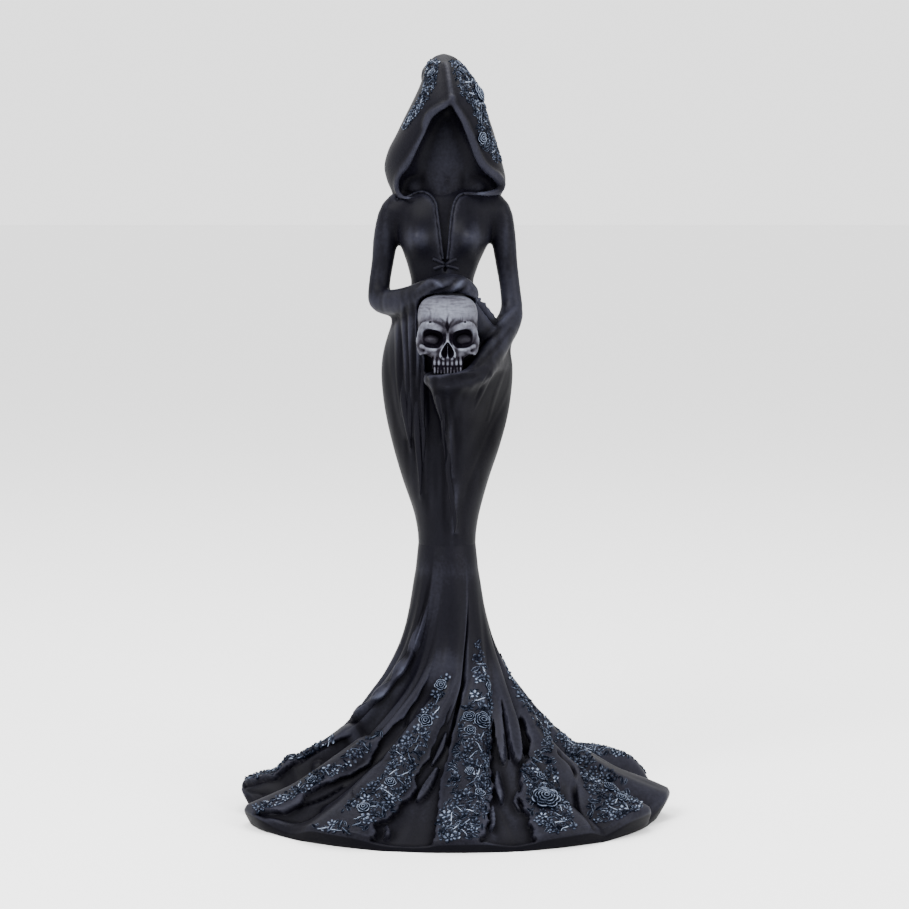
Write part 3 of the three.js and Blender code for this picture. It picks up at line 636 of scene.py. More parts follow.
# The cloth laid over the skirt. All places are pairs: share of the way out, then direction at the hem in degrees.
OVERLAY_UP = 0.9
RECESS_DOWN = 1.3
FRONT_GAP_LEFT = [
    (0, -22), (0.13, -20), (0.242, -21), (0.33, -21.5), (0.405, -20), (0.5, -21), (0.545, -19.2), (0.6, -17.8),
    (0.688, -20.8), (0.8, -22.2), (0.873, -25), (0.958, -23), (1, -26),
]
FRONT_GAP_RIGHT = [
    (0, -13), (0.06, -14.5), (0.09, -16), (0.138, -13.5), (0.23, -12.8), (0.315, -11.8), (0.403, -9.2),
    (0.6, -7.5), (1, -6.5),
]
RIGHT_GAP_LEFT = [
    (0, 19), (0.278, 18.5), (0.365, 17.2), (0.505, 16.6), (0.568, 16.6), (0.65, 13.5), (0.758, 10.2),
    (0.883, 8.2), (0.978, 5.8), (1, 5.2),
]
RIGHT_GAP_RIGHT = [
    (0, 46), (0.367, 46), (0.445, 41.5), (0.475, 36), (0.525, 28.8), (0.61, 26), (0.688, 22.8), (0.8, 22.3),
    (0.91, 21.2), (1, 21),
]
# The lower edge of the cloth above the right gap, with two hanging tongues: direction, share of the way out.
RIGHT_GAP_TOP = [
    (14, 0.26), (19, 0.27), (20.4, 0.38), (22, 0.458), (23.6, 0.38), (24.6, 0.25), (25.9, 0.25), (27.2, 0.42),
    (29.5, 0.478), (33, 0.43), (35.2, 0.36), (37, 0.31), (44, 0.30), (50, 0.30),
]
# The deep groove between the second and third strips of cloth on the right.
SIDE_GROOVE = [
    (0.40, 72, 0.7, -1.1), (0.463, 64, 1.0, -1.6), (0.52, 55.5, 1.3, -1.9), (0.62, 54.5, 1.3, -1.9),
    (0.74, 45.8, 1.2, -1.7), (0.823, 42, 1.3, -1.7), (0.9, 39, 1.6, -1.7), (0.97, 37.5, 1.8, -1.4),
]
LEFT_EDGE = [
    (0.1, -53), (0.19, -54), (0.253, -54.5), (0.328, -57), (0.405, -55.5), (0.463, -52.5), (0.603, -56),
    (0.69, -58.2), (0.768, -59), (0.84, -57), (0.91, -57.8), (1, -66),
]
LEFT_FAR_EDGE = [(0.4, -86), (0.458, -87), (0.6, -92), (0.715, -88), (0.815, -88), (0.945, -91), (1, -95)]
BACK_EDGE = [(0.02, -78), (0.095, -86), (0.15, -89), (0.235, -91), (0.325, -97), (0.42, -104)]
# Leaves of torn cloth in the gaps, and slits: share, direction, half width in mm, height in mm.
TATTERS = [
    [(0.44, -6.5, 0.4, 1.2), (0.50, -6.2, 1.3, 1.5), (0.57, -6.4, 1.3, 1.4), (0.615, -6.0, 0.3, 1.0)],
    [(0.45, -13, 0.6, 1.2), (0.53, -13.6, 1.4, 1.5), (0.60, -14.8, 1.3, 1.4), (0.655, -16, 0.3, 1.0)],
    [(0.30, -16.5, 0.3, 0.8), (0.36, -16.0, 0.9, 1.2), (0.43, -16.6, 0.3, 0.8)],
    [(0.49, 19.4, 0.4, 1.2), (0.56, 18.4, 1.1, 1.5), (0.62, 18.0, 1.1, 1.4), (0.675, 17, 0.3, 1.0)],
    [(0.71, 12.6, 0.4, 1.2), (0.78, 11.4, 1.0, 1.4), (0.84, 10.6, 0.9, 1.3), (0.885, 9.6, 0.3, 1.0)],
    [(0.64, 24.0, 0.3, 1.0), (0.70, 21.4, 0.8, 1.2), (0.76, 21.2, 0.3, 0.8)],
    [(0.86, -22.0, 0.3, 0.8), (0.90, -20.6, 0.8, 1.0), (0.94, -20.6, 0.3, 0.8)],
    [(0.05, -83, 0.5, 1.6), (0.085, -85.5, 1.5, 2.8), (0.12, -87.5, 0.6, 1.6)],
    [(0.115, -86.5, 0.6, 1.8), (0.15, -88.5, 1.6, 3.0), (0.19, -89.5, 0.6, 1.6)],
    [(0.19, -88.5, 0.6, 1.8), (0.235, -90, 1.7, 3.0), (0.28, -93, 0.6, 1.6)],
    [(0.275, -92, 0.6, 1.8), (0.32, -95.5, 1.6, 2.8), (0.37, -99, 0.5, 1.4)],
]
SLITS = [
    [(0.23, 25.4, 0.25, -0.9), (0.30, 26.4, 0.5, -1.4), (0.44, 24.8, 0.6, -1.2)],
    [(0.045, -14.5, 0.4, -0.3), (0.08, -16.0, 0.7, -1.3), (0.2, -14, 0.8, -1.6), (0.34, -12.6, 0.8, -1.2)],
    [(0.25, -53, 0.3, -0.4), (0.285, -50.8, 0.5, -0.8), (0.35, -43.5, 0.3, -0.3)],
    [(0.55, -46, 0.3, -0.3), (0.60, -43, 0.5, -0.7), (0.67, -38, 0.3, -0.3)],
    [(0.69, -41, 0.3, -0.3), (0.73, -38.6, 0.5, -0.6), (0.77, -36.2, 0.3, -0.2)],
    [(0.62, -53.5, 0.4, -0.6), (0.738, -55, 0.7, -1.0), (0.84, -56.8, 0.5, -0.7), (0.91, -57.6, 0.3, -0.3)],
    [(0.30, 4, 0.3, -0.3), (0.36, 9, 0.4, -0.5), (0.44, 9.5, 0.3, -0.2)],
    [(0.52, 2, 0.3, -0.3), (0.6, 6, 0.4, -0.4), (0.68, 6.5, 0.3, -0.2)],
    [(0.42, 62, 0.3, -0.4), (0.5, 60, 0.5, -0.6), (0.56, 64, 0.3, -0.3)],
]


def along_points(points, stations, profile, steps=4):
    """The strongest height that a line of stations gives points: x, y, z, half width, height."""
    height = np.zeros(points.shape[:-1])
    path = curve_through(stations, steps) if steps > 1 else np.array(stations)
    reach = path[:, 3].max() + 0.5
    low, high = path[:, :3].min(0) - reach, path[:, :3].max(0) + reach
    near = np.all((points > low) & (points < high), axis=-1)
    p = points[near]
    best = np.zeros(len(p))
    for a, b in zip(path[:-1], path[1:]):
        way = b[:3] - a[:3]
        t = np.clip((p - a[:3]) @ way / max(way @ way, 1e-9), 0, 1)
        away = np.linalg.norm(p - a[:3] - t[:, None] * way, axis=1)
        half = a[3] + (b[3] - a[3]) * t
        value = (a[4] + (b[4] - a[4]) * t) * profile(away / half)
        best = np.where(np.abs(value) > np.abs(best), value, best)
    height[near] = best
    return height


def groove_profile(share):
    return np.maximum(1 - share * share, 0) ** 2


def leaf_profile(share):
    return smoothstep(1.2 - share, 0, 0.35) * (1 - 0.25 * np.exp(-(share / 0.22) ** 2))


def torn(length, seed):
    """How far a torn edge wanders, in millimetres, at lengths along it: leaf-like lobes with sharp notches."""
    lobes = np.abs(np.sin(length * math.pi / 8.7 + seed * 1.7)) - 0.6
    small = np.abs(np.sin(length * math.pi / 3.1 + seed * 2.9)) - 0.6
    return 1.1 * lobes + 0.35 * small


def skirt_relief(hem, run, points):
    """How far the cloth laid over the skirt stands out from the mean surface, in millimetres."""
    per_degree = np.linalg.norm(np.gradient(points, axis=1), axis=2) / np.abs(np.gradient(hem, axis=1))
    length = 75 * run + 62 * (1 - along(FLARE, run))
    wall = 0.4

    def right_of(edge, seed, ragged=1.0):
        return (hem - along(edge, run)) * per_degree + ragged * torn(length, seed)

    def left_of(edge, seed, ragged=1.0):
        return (along(edge, run) - hem) * per_degree + ragged * torn(length, seed)

    def gap(inside):
        return smoothstep(inside, -wall, wall)

    front = np.minimum(right_of(FRONT_GAP_LEFT, 0.3, 0.8), left_of(FRONT_GAP_RIGHT, 1.1, 0.6))
    top = (run - along(RIGHT_GAP_TOP, hem)) * 75 + 0.3 * torn(hem * 0.5, 2.2)
    right = np.minimum(np.minimum(right_of(RIGHT_GAP_LEFT, 2.1), left_of(RIGHT_GAP_RIGHT, 3.4)), top)
    left = right_of(LEFT_EDGE, 4.2, 0.6)
    left = gap(left) * (1 - smoothstep(left, 5, 13)) * smoothstep(run, 0.1, 0.2)
    far = right_of(LEFT_FAR_EDGE, 5.7, 0.7)
    far = gap(far) * (1 - smoothstep(far, 6, 15)) * smoothstep(run, 0.36, 0.46)
    back = right_of(BACK_EDGE, 6.1)
    back = gap(back) * (1 - smoothstep(run, 0.34, 0.42)) * (1 - smoothstep(hem, -64, -54))
    upper_front = smoothstep(run, 0.2, 0.3)
    front = gap(front) * np.where(hem < -17.5, upper_front, smoothstep(run, 0.05, 0.09))
    recess = np.maximum.reduce([front, gap(right), left, far, back])
    height = OVERLAY_UP - (OVERLAY_UP + RECESS_DOWN) * recess
    height = height * smoothstep(run, 0.02, 0.16)
    height -= 0.5 * np.exp(-((recess - 0.85) / 0.12) ** 2) * smoothstep(run, 0.1, 0.3)
    for stations in TATTERS:
        leaf = along_points(points, on_skirt(stations), leaf_profile)
        height = np.maximum(height, np.where(leaf > 0, leaf - 0.6, -9))
    for stations in SLITS + [SIDE_GROOVE]:
        height += along_points(points, on_skirt(stations), groove_profile)
    flat = points.reshape(-1, 3)
    wrinkle = noise(np.stack([hem.ravel() * 0.32, length.ravel() * 0.08, flat[:, 2] * 0], 1), 1.0, 3)
    height += 0.16 * wrinkle.reshape(hem.shape) * smoothstep(run, 0.1, 0.3)
    lower = 0.974 + 0.010 * noise(np.stack([hem.ravel(), hem.ravel() * 0, hem.ravel() * 0], 1), 3.0, 5)
    edge = smoothstep((run - lower.reshape(hem.shape)) * 75, -0.4, 0.5)
    return height * (1 - edge) - 0.15 * edge


def on_skirt(stations):
    rows = np.array(stations, float)
    return np.concatenate([skirt_point(rows[:, 1], rows[:, 0]), rows[:, 2:]], 1)


SKIRT_COLUMNS_FRONT = 516
SKIRT_COLUMNS_BACK = 104
SKIRT_ROWS = 148
FRONT_FROM = -128.0
FRONT_TO = 124.0
OVERLAP = 3.0  # how far the skirt's mesh runs on inside the bodice's


def skirt_grid():
    front = np.linspace(FRONT_FROM, FRONT_TO, SKIRT_COLUMNS_FRONT, endpoint=False)
    back = np.linspace(FRONT_TO, FRONT_FROM + 360, SKIRT_COLUMNS_BACK, endpoint=False)
    hem = np.concatenate([front, back])
    run = np.linspace(0, 1, SKIRT_ROWS + 1) ** 0.85
    run = run + 0.15 * (run ** 2 - run) * -0.5
    hem, run = np.meshgrid(hem, run)
    points = skirt_point(hem, run)
    base = Surface(run[:, 0], hem[0], points)
    height = skirt_relief(hem, run, points)
    return base, Surface(run[:, 0], hem[0], points + base.out * height[..., None])


# Painted light and shade on the cloths by height, how much lighter or darker they are than their crest gives: height,
# tone.
SKIRT_LIGHT_AND_SHADE = [(0, -0.1), (3, 0.0), (9, 0.16), (25, 0.18), (50, 0.26), (75, 0.25), (95, 0.18), (108, 0.04), (112, 0.04)]
# Patches of painted light and shade low on the skirt: direction at the hem, width in degrees, tone.
SKIRT_LIGHT_AND_SHADE_PATCHES = [(14, 6, 0.22), (-80, 7, -0.25)]
# Painted light and shade on the bodice by height: height, tone.
BODICE_LIGHT_AND_SHADE = [
    (104, 0.04), (108, 0.04), (120, -0.08), (135, -0.16), (160, -0.2), (174, -0.2), (188, 0.06), (200, 0.14),
    (210, 0.02), (220, -0.02), (230, 0.04), (238, -0.08), (254, -0.1),
]


def skirt(surface):
    points = surface.points[::-1]
    edge = points[0]
    out = np.linalg.norm(edge[:, :2], axis=1)
    rings = []
    for share, level, drop in ((1.0, 0.0, 0), (0.8, 0.5, 0), (0.62, 1.0, 0), (0.3, 0.0, 0.9), (0.08, 0.0, 0.35)):
        inward = 1 - share * (0.5 + UNDERCUT * np.maximum(edge[:, 2] - BASE_EDGE, 0)) / out
        z = np.full(len(edge), level) if drop == 0 else np.maximum(edge[:, 2] - drop, 1.2)
        rings.append(np.stack([edge[:, 0] * inward, edge[:, 1] * inward, z], 1))
    under = len(rings)
    inside = []
    for rise in np.arange(1, OVERLAP + 0.5):
        share = 1 - 0.03 * rise
        ring = (points[-1] - [BODY[0][1], 0, 0]) * [share, share, 1] + [BODY[0][1], 0, rise]
        inside.append(ring)
    rings = np.concatenate([np.stack(rings), points, np.stack(inside)])
    for _ in range(HEM_ROUNDING):
        rings[2:under + 6] += 0.5 * ((rings[1:under + 5] + rings[3:under + 7]) / 2 - rings[2:under + 6])
    rows, count = rings.shape[:2]
    flat = rings.reshape(-1, 3)
    faces = grid_faces(rows, count)
    bottom = len(flat)
    crest = crest_of(flat, faces, 9)
    # Ridges toned down and grooves made darker: dark wash with painted shade in the grooves.
    crest = np.where(crest > 0, 0.4 * crest, 1.2 * crest)
    crest *= 1 - smoothstep(flat[:, 2], KNEE_HEIGHT - 7, KNEE_HEIGHT)
    # Painted light and shade by height and, low on the skirt, in patches.
    crest = crest / 0.7 + along(SKIRT_LIGHT_AND_SHADE, flat[:, 2])
    low = smoothstep(flat[:, 2], 34, 16) * smoothstep(flat[:, 2], 2, 5)
    for at, width, tone in SKIRT_LIGHT_AND_SHADE_PATCHES:
        crest += tone * low * np.exp(-np.tile((surface.columns - at) / width, rows) ** 2)
    # Painted shade on the rings under the hem.
    crest[:(under + 1) * count] = -0.3
    flat = np.concatenate([flat, [[0, 0, 0]], [[BODY[0][1], 0, KNEE_HEIGHT + OVERLAP]]])
    crest = np.concatenate([crest, [0, 0]])
    k = np.arange(count)
    beside = (k + 1) % count
    last = (rows - 1) * count
    caps = np.concatenate([
        np.stack([beside, k, np.full(count, bottom)], 1),
        np.stack([last + k, last + beside, np.full(count, bottom + 1)], 1),
    ])
    make_piece("skirt", flat, faces.tolist() + caps.tolist(), DARK, "dark_resin", crest, sharp=60)


# Carved flowers. Each carving is flat, in millimetres, with the way out as its third axis. Their brightness is
# dry-brushed on what stands out, with dark wash and painted shade in what lies low, between petals and down their
# sides.


def pad(outline, height, crest, around, rings, deep):
    """A closed carving from its outline, its height and its brightness, by share of the way out and angle."""
    angle = np.arange(around) * 2 * math.pi / around
    share = np.arange(1, rings + 1) / rings
    a, r = np.meshgrid(angle, share)
    reach = outline(a) * r
    top = np.stack([reach * np.cos(a), reach * np.sin(a), height(r, a)], -1).reshape(-1, 3)
    lip = top[-around:] * [0.97, 0.97, 0] - [0, 0, deep]
    middle = [[0, 0, float(height(np.array(0.0), np.array(0.0)))], [0, 0, -deep]]
    points = np.concatenate([top, lip, middle])
    bright = np.concatenate([crest(r, a).ravel(), np.full(around, -1.0), [0.2, -1.0]])
    k = np.arange(around)
    beside = (k + 1) % around
    centre, under = len(points) - 2, len(points) - 1
    faces = [np.stack([np.full(around, centre), k, beside], 1)]
    for j in range(rings):
        near, far = j * around, (j + 1) * around
        faces.append(np.stack([near + k, far + k, far + beside], 1))
        faces.append(np.stack([near + k, far + beside, near + beside], 1))
    faces.append(np.stack([np.full(around, under), rings * around + beside, rings * around + k], 1))
    return points, np.concatenate(faces), bright


def blossom(petals, size, swirl=0.0, point=0.6, rimmed=1.0):
    """An open flower, light over its whole petals or, rimmed, only at their edges."""
    def lobe(a, r=1.0):
        return np.abs(np.cos(petals / 2 * (a + swirl * (1 - r))))

    def outline(a):
        return size * (0.5 + 0.5 * lobe(a) ** point) * (1 + 0.10 * np.sin(a * 2 + size * 9))

    def height(r, a):
        rise = 0.15 + 0.85 * r ** 1.3
        cup = lobe(a, r) ** 0.6
        knob = np.exp(-(r / 0.16) ** 2)
        return size * (0.08 + 0.42 * rise * cup + 0.2 * knob)

    def crest(r, a):
        edge = smoothstep(r, 0.66, 0.98) * lobe(a, r) ** 0.35
        whole = smoothstep(r, 0.2, 0.5) * lobe(a, r) ** 0.9 * (1 - 0.3 * smoothstep(r, 0.8, 1.0))
        knob = 1.1 * np.exp(-(r / 0.16) ** 2)
        return np.clip(-0.85 + 1.6 * (edge * rimmed + whole * (1 - rimmed)) + knob * rimmed, -1, 1)

    return pad(outline, height, crest, petals * 6, 4, 0.6)


def leaf(length, width):
    def outline(a):
        return length * width / np.sqrt((width * np.cos(a)) ** 2 + (length * np.sin(a)) ** 2) \
            * (1 - 0.18 * np.abs(np.sin(a)) ** 3 * np.abs(np.sin(2 * a)))

    def height(r, a):
        side = np.abs(np.sin(a)) * r
        return 0.34 + 0.5 * side ** 0.8 * (1 - 0.55 * r ** 3)

    def crest(r, a):
        return np.clip(-0.7 + 1.5 * smoothstep(r, 0.6, 1.0) * (0.4 + 0.6 * np.abs(np.sin(a))), -1, 1)

    return pad(outline, height, crest, 12, 3, 0.6)


def bud(size):
    return pad(lambda a: np.full_like(a, size), lambda r, a: size * (0.2 + 0.75 * np.sqrt(np.maximum(1 - r * r, 0))),
               lambda r, a: 0.9 - 1.7 * r ** 2, 8, 3, 0.5)


def rose(size, layers=4, seed=0.0):
    """A rose in relief: rings of petals, each ring rising to its edges and dropping to the next ring's root."""
    ring = np.arange(layers)

    def edges(a):
        bow = np.abs(np.cos((ring + 3) / 2 * (a[..., None] + ring * 2.1 + seed)))
        return (ring + 1) / layers * (0.80 + 0.20 * bow ** 0.6)

    def outline(a):
        return size * edges(a)[..., -1]

    def rise(r, a):
        a = np.asarray(a, float)
        border = edges(a)
        reach = r * border[..., -1]
        outside = np.minimum((reach[..., None] > border).sum(-1), layers - 1)
        outer = np.take_along_axis(border, outside[..., None], -1)[..., 0]
        inner = np.take_along_axis(border, np.maximum(outside - 1, 0)[..., None], -1)[..., 0] * (outside > 0)
        return np.clip((reach - inner) / (outer - inner), 0, 1)

    def height(r, a):
        step = rise(r, a)
        edge = step ** 1.5 * (1 - smoothstep(step, 0.88, 1.0))
        return size * (0.18 + 0.30 * (1 - r ** 1.5)) + (0.3 + 0.10 * size) * edge

    def crest(r, a):
        step = rise(r, a)
        return np.clip(-0.8 + 1.7 * smoothstep(step, 0.35, 0.85) * (1 - smoothstep(step, 0.9, 1.0)), -1, 1)

    return pad(outline, height, crest, 60, layers * 9, 0.7)


def stem(length, bend, thick):
    """A curved stem, half sunk, from one end to the other."""
    t = np.linspace(0, 1, 9)
    x = (t - 0.5) * length
    y = bend * np.sin(t * math.pi) + 0.25 * bend * np.sin(t * 3 * math.pi)
    ahead = np.stack([np.gradient(x), np.gradient(y)], 1)
    ahead /= np.linalg.norm(ahead, axis=1, keepdims=True)
    size = thick * (0.35 + 0.65 * np.sin(np.clip(t, 0.04, 0.96) * math.pi))
    rings = []
    bright = []
    for k in range(6):
        a = k * math.pi / 3
        off = math.cos(a) * size
        rings.append(np.stack([x - ahead[:, 1] * off, y + ahead[:, 0] * off, 0.25 + math.sin(a) * size * 1.2], 1))
        # Lighter over the stem's top and darker on its underside: dry-brushed on top, painted shade beneath.
        bright.append(np.full(9, 0.8 * math.sin(a)))
    points = np.stack(rings, 1).reshape(-1, 3)
    faces = []
    for i in range(8):
        for k in range(6):
            a, b = i * 6 + k, i * 6 + (k + 1) % 6
            faces += [[a, b + 6, b], [a, a + 6, b + 6]]
    for k in range(1, 5):
        faces += [[0, k, k + 1], [48, 48 + k + 1, 48 + k]]
    return points, np.array(faces), np.stack(bright, 1).ravel()


def spray(length, bend, leaves):
    """A curved stem with leaves on both of its sides."""
    parts = [stem(length, bend, 0.24)]
    for k in range(leaves):
        t = (k + 0.8) / leaves
        side = 1 if k % 2 else -1
        size = length * (0.17 - 0.04 * t)
        angle = side * (0.95 - 0.5 * t)
        points, faces, crest = leaf(size, size * 0.36)
        cos, sin = math.cos(angle), math.sin(angle)
        x = (t - 0.5) * length + cos * (points[:, 0] + size)
        y = bend * math.sin(t * math.pi) + sin * (points[:, 0] + size)
        moved = np.stack([x - sin * points[:, 1], y + cos * points[:, 1], points[:, 2]], 1)
        parts.append((moved, faces, crest))
    return joined(parts)


class Garland:
    """Many carvings on one surface, gathered into one mesh."""

    def __init__(self, surface, carved=None):
        self.surface = surface
        self.carved = carved or surface
        self.parts = []
        self.places = np.zeros((0, 4))

    def put(self, carving, row, column, turn=0.0, tilt=0.0, tone=0.0, lift=-0.2):
        points, faces, crest = carving
        place, out = self.surface.at(np.array(row), np.array(column))
        lift += max(float((self.carved.at(np.array(row), np.array(column))[0] - place) @ out), 0)
        points = points + np.outer(points[:, 0] * tilt, [0, 0, 1])
        self.parts.append((self.surface.lay(points, row, column, turn, lift), faces, crest + tone))

    def free(self, place, gap):
        if not len(self.places):
            return True
        away = np.linalg.norm(self.places[:, :3] - place, axis=1)
        return bool(np.all(away > gap + self.places[:, 3]))

    def keep(self, row, column, size):
        place, _ = self.surface.at(np.array(row), np.array(column))
        self.places = np.vstack([self.places, [*place, size]])

    def scatter(self, band, tries, gap, make, random, margin, scale, thin):
        """Carvings at random places of a band of row, from column, to column, none nearer than a gap.

        Thin, from -1 to 1, keeps them out of patches of the band, so that its cloth shows.
        """
        rows = np.array([station[0] for station in band])
        for _ in range(tries):
            row = random.uniform(rows[0], rows[-1])
            begin, end = float(along(band, row, 1)), float(along(band, row, 2))
            column = begin + (end - begin) * random.uniform(margin, 1 - margin)
            place, _ = self.surface.at(np.array(row), np.array(column))
            if noise(place[None], PATCH, 21)[0] > thin and self.free(place, gap):
                carving, size = make(random, scale)
                turn, tilt, tone = random.uniform((0, -0.22, -0.35), (2 * math.pi, 0.22, 0.35))
                self.put(carving, row, column, turn, tilt, tone)
                self.places = np.vstack([self.places, [*place, size]])

    def mesh(self, name):
        points, faces, crest = joined(self.parts)
        make_piece(name, points, faces, FLOWERED, "dark_resin", crest, sharp=50)


PATCH = 7.0  # width of the patches without flowers


def any_blossom(random, scale):
    size = random.uniform(1.15, 2.0) * scale
    swirl, point, rimmed = random.uniform((-0.35, 0.6, 0), (0.35, 1.3, 1))
    return blossom(5, size, swirl, point, rimmed), size * 0.4


def any_sprig(random, scale):
    size = random.uniform(1.0, 1.7) * scale
    swirl, point, rimmed = random.uniform((-0.5, 0.9, 0), (0.5, 2.0, 0.7))
    return blossom(3, size, swirl, point, rimmed), size * 0.3


def any_leaf(random, scale):
    length = random.uniform(1.0, 2.1) * scale
    return leaf(length, length * random.uniform(0.26, 0.40)), length * 0.2


def any_bud(random, scale):
    size = random.uniform(0.3, 0.5) * scale
    return bud(size), size * 0.6


def any_spray(random, scale):
    length = random.uniform(3.6, 6.4) * scale
    return spray(length, random.uniform(-0.22, 0.22) * length, int(random.integers(4, 8))), length * 0.16


def fill(garland, band, random, share=1.0, scale=1.0):
    """A band filled with sprays and blossoms first, then sprigs and leaves, then buds in what is left."""
    for tries, gap, make, margin, thin in (
        (70, 2.2, any_spray, 0.25, -0.8), (330, 1.65, any_blossom, 0.08, -0.5), (330, 1.25, any_sprig, 0.0, -0.5),
        (640, 0.9, any_leaf, -0.03, -0.7), (30, 0.8, any_bud, 0.0, -0.6),
    ):
        garland.scatter(band, int(tries * share), gap * scale, make, random, margin, scale, thin)


# Bands of flowers on the skirt: share of the way out, then where the band starts and ends at the hem in degrees.
SKIRT_BANDS = {
    "flowers_front": [
        (0.085, -3, 3), (0.118, -3.5, 7), (0.165, -3.2, 17), (0.195, -5, 18), (0.242, -8.5, 18), (0.323, -5.8, 16.6),
        (0.41, -5.6, 14.4), (0.55, -3.5, 14), (0.74, -5.4, 9.6), (0.912, -5.4, 5.8), (0.965, -4.4, 3.6),
    ],
    "flowers_right": [
        (0.13, 58, 72), (0.168, 52, 74), (0.23, 49.5, 70), (0.302, 52, 72), (0.362, 54, 76), (0.403, 56, 76),
        (0.475, 40, 52), (0.53, 30, 49), (0.61, 28.5, 46.5), (0.71, 25, 42.6), (0.805, 23.5, 37.5),
        (0.888, 23.5, 33), (0.965, 25, 31.4),
    ],
    "flowers_right_side": [
        (0.448, 70, 84), (0.51, 70, 88), (0.58, 67, 80), (0.655, 57, 72), (0.70, 53, 72), (0.76, 49, 72),
        (0.833, 45.5, 70), (0.9, 43, 62), (0.95, 46.5, 56),
    ],
    "flowers_right_back": [(0.5, 92, 98), (0.6, 94, 101), (0.72, 96, 104), (0.84, 98, 106), (0.95, 101, 106)],
    "flowers_left": [
        (0.147, -38.8, -33), (0.165, -41, -31.5), (0.22, -37, -29), (0.252, -40, -27), (0.3, -37, -28),
        (0.345, -38.2, -27), (0.41, -41.4, -24), (0.463, -36, -23.5), (0.52, -35, -22.6), (0.575, -33, -21.6),
        (0.64, -36, -21.6), (0.72, -36.5, -23.2), (0.79, -37.5, -22.8), (0.87, -36.5, -26), (0.94, -38, -26),
        (0.975, -40, -29),
    ],
    "flowers_left_side": [
        (0.345, -62, -58.5), (0.39, -63.5, -58), (0.48, -65, -58.5), (0.535, -63, -58), (0.6, -65, -58.6),
        (0.667, -68, -59.6), (0.74, -67, -60), (0.83, -65, -60), (0.9, -65, -60.4), (0.96, -66, -61.5),
    ],
    "flowers_far_left": [(0.47, -93, -88), (0.56, -97, -91), (0.66, -97, -90), (0.8, -96, -90), (0.95, -98, -92.5)],
}
# Roses on the skirt: band, share of the way out, direction, radius, rings of petals.
SKIRT_ROSES = [
    ("flowers_front", 0.278, 6.2, 3.4, 4), ("flowers_front", 0.262, -3.0, 2.2, 3),
    ("flowers_front", 0.31, -0.5, 2.0, 3), ("flowers_front", 0.17, 12, 2.0, 3),
    ("flowers_front", 0.50, 4.0, 1.9, 3), ("flowers_front", 0.64, 8.0, 1.9, 3),
    ("flowers_right", 0.748, 30.2, 5.6, 5), ("flowers_right", 0.60, 36, 2.2, 3),
    ("flowers_right_side", 0.80, 58, 3.0, 4), ("flowers_right_side", 0.87, 55, 2.4, 3),
    ("flowers_left", 0.17, -36.5, 2.3, 3), ("flowers_left", 0.285, -33, 2.6, 3),
    ("flowers_left", 0.80, -31, 2.6, 3), ("flowers_left", 0.60, -28.5, 2.1, 3),
    ("flowers_left_side", 0.70, -63, 2.2, 3),
]


def skirt_flowers(surface, carved):
    for number, (name, band) in enumerate(SKIRT_BANDS.items()):
        random = np.random.default_rng(41 + number)
        garland = Garland(surface, carved)
        for owner, row, column, size, layers in SKIRT_ROSES:
            if owner == name:
                garland.put(rose(size, layers, row * 9), row, column, column, tone=-0.1)
                garland.keep(row, column, size * 0.8)
        fill(garland, band, random)
        garland.mesh(name)


# The upper body, with its arms and the cloth over the hands.


def dress_form(low, high):
    def shape(x, y, z):
        middle = along(BODY, z, 1)
        half = along(BODY, z, 2)
        off = x - middle
        y = np.where(y < 0, np.minimum(y + swell(BREAST, off, z), 0), np.maximum(y - swell(SEAT, off, z), 0))
        depth = np.where(y < 0, along(BODY, z, 3), along(BODY, z, 4))
        v = y / depth
        q = np.sqrt((off / half) ** 2 + v * v + 1e-6)
        r = np.sqrt(off * off + y * y + 1e-6)
        below = 0.12 * np.maximum(KNEE_HEIGHT - z, 0)
        return np.maximum(r - r / q + below, np.maximum(KNEE_HEIGHT - 2.5 - z, z - NECK_TOP))

    return shape, low, high


def front_of(x, z):
    """Where the front of the bare body lies, at sideways places and heights."""
    middle = along(BODY, z, 1)
    half = along(BODY, z, 2)
    share = np.clip((x - middle) / half, -0.985, 0.985)
    return -along(BODY, z, 3) * np.sqrt(1 - share ** 2) - swell(BREAST, x - middle, z)


UPRIGHT = (0, 0, 1)
ACROSS = (1, 0, 0)
DEPTHWISE = (0, 1, 0)
LEFT_UPPER_ARM = [
    (-18, 1.5, 244.5, 5, 4.5), (-23.6, 1.2, 239, 5.6, 5.4), (-26.6, 1, 230, 5, 5), (-28.2, 0.5, 219, 4.1, 4.3),
    (-29.5, -0.5, 210, 3.9, 4.2), (-29.2, -2, 204.4, 4.4, 4.4), (-26, -5, 202.8, 4, 4.2),
]
LEFT_FOREARM = [
    (-28.8, -1.5, 205, 3.8, 4), (-24, -8.5, 203.8, 4.9, 4.4), (-17.5, -15.5, 204.9, 5.3, 4.4),
    (-11, -21, 208.2, 4.6, 5), (-5, -23.5, 210.8, 4, 7), (1.4, -23.5, 210.8, 4, 7), (5, -22, 208, 3.6, 5),
    (6.6, -19.5, 204.8, 2.2, 2.4),
]
RIGHT_UPPER_ARM = [
    (11.5, 1.5, 244.5, 5, 4.5), (16.8, 1.2, 239, 5.6, 5.2), (19, 1, 230, 5, 4.9), (20.4, 0.5, 219, 4.2, 4.3),
    (21.8, -0.3, 209, 4, 4), (22.4, -2, 199.5, 4.4, 4.3), (19.5, -5.5, 194, 4.2, 4.4),
]
RIGHT_FOREARM = [
    (22, -2.5, 198.2, 4.6, 3.6), (18.6, -9, 189.8, 4.8, 4), (12.8, -19, 182.2, 4.8, 5), (6.4, -26.5, 176, 4.2, 8),
    (-2, -28.5, 173.4, 3.4, 8.8), (-9, -27.5, 175, 2.6, 6.4),
]
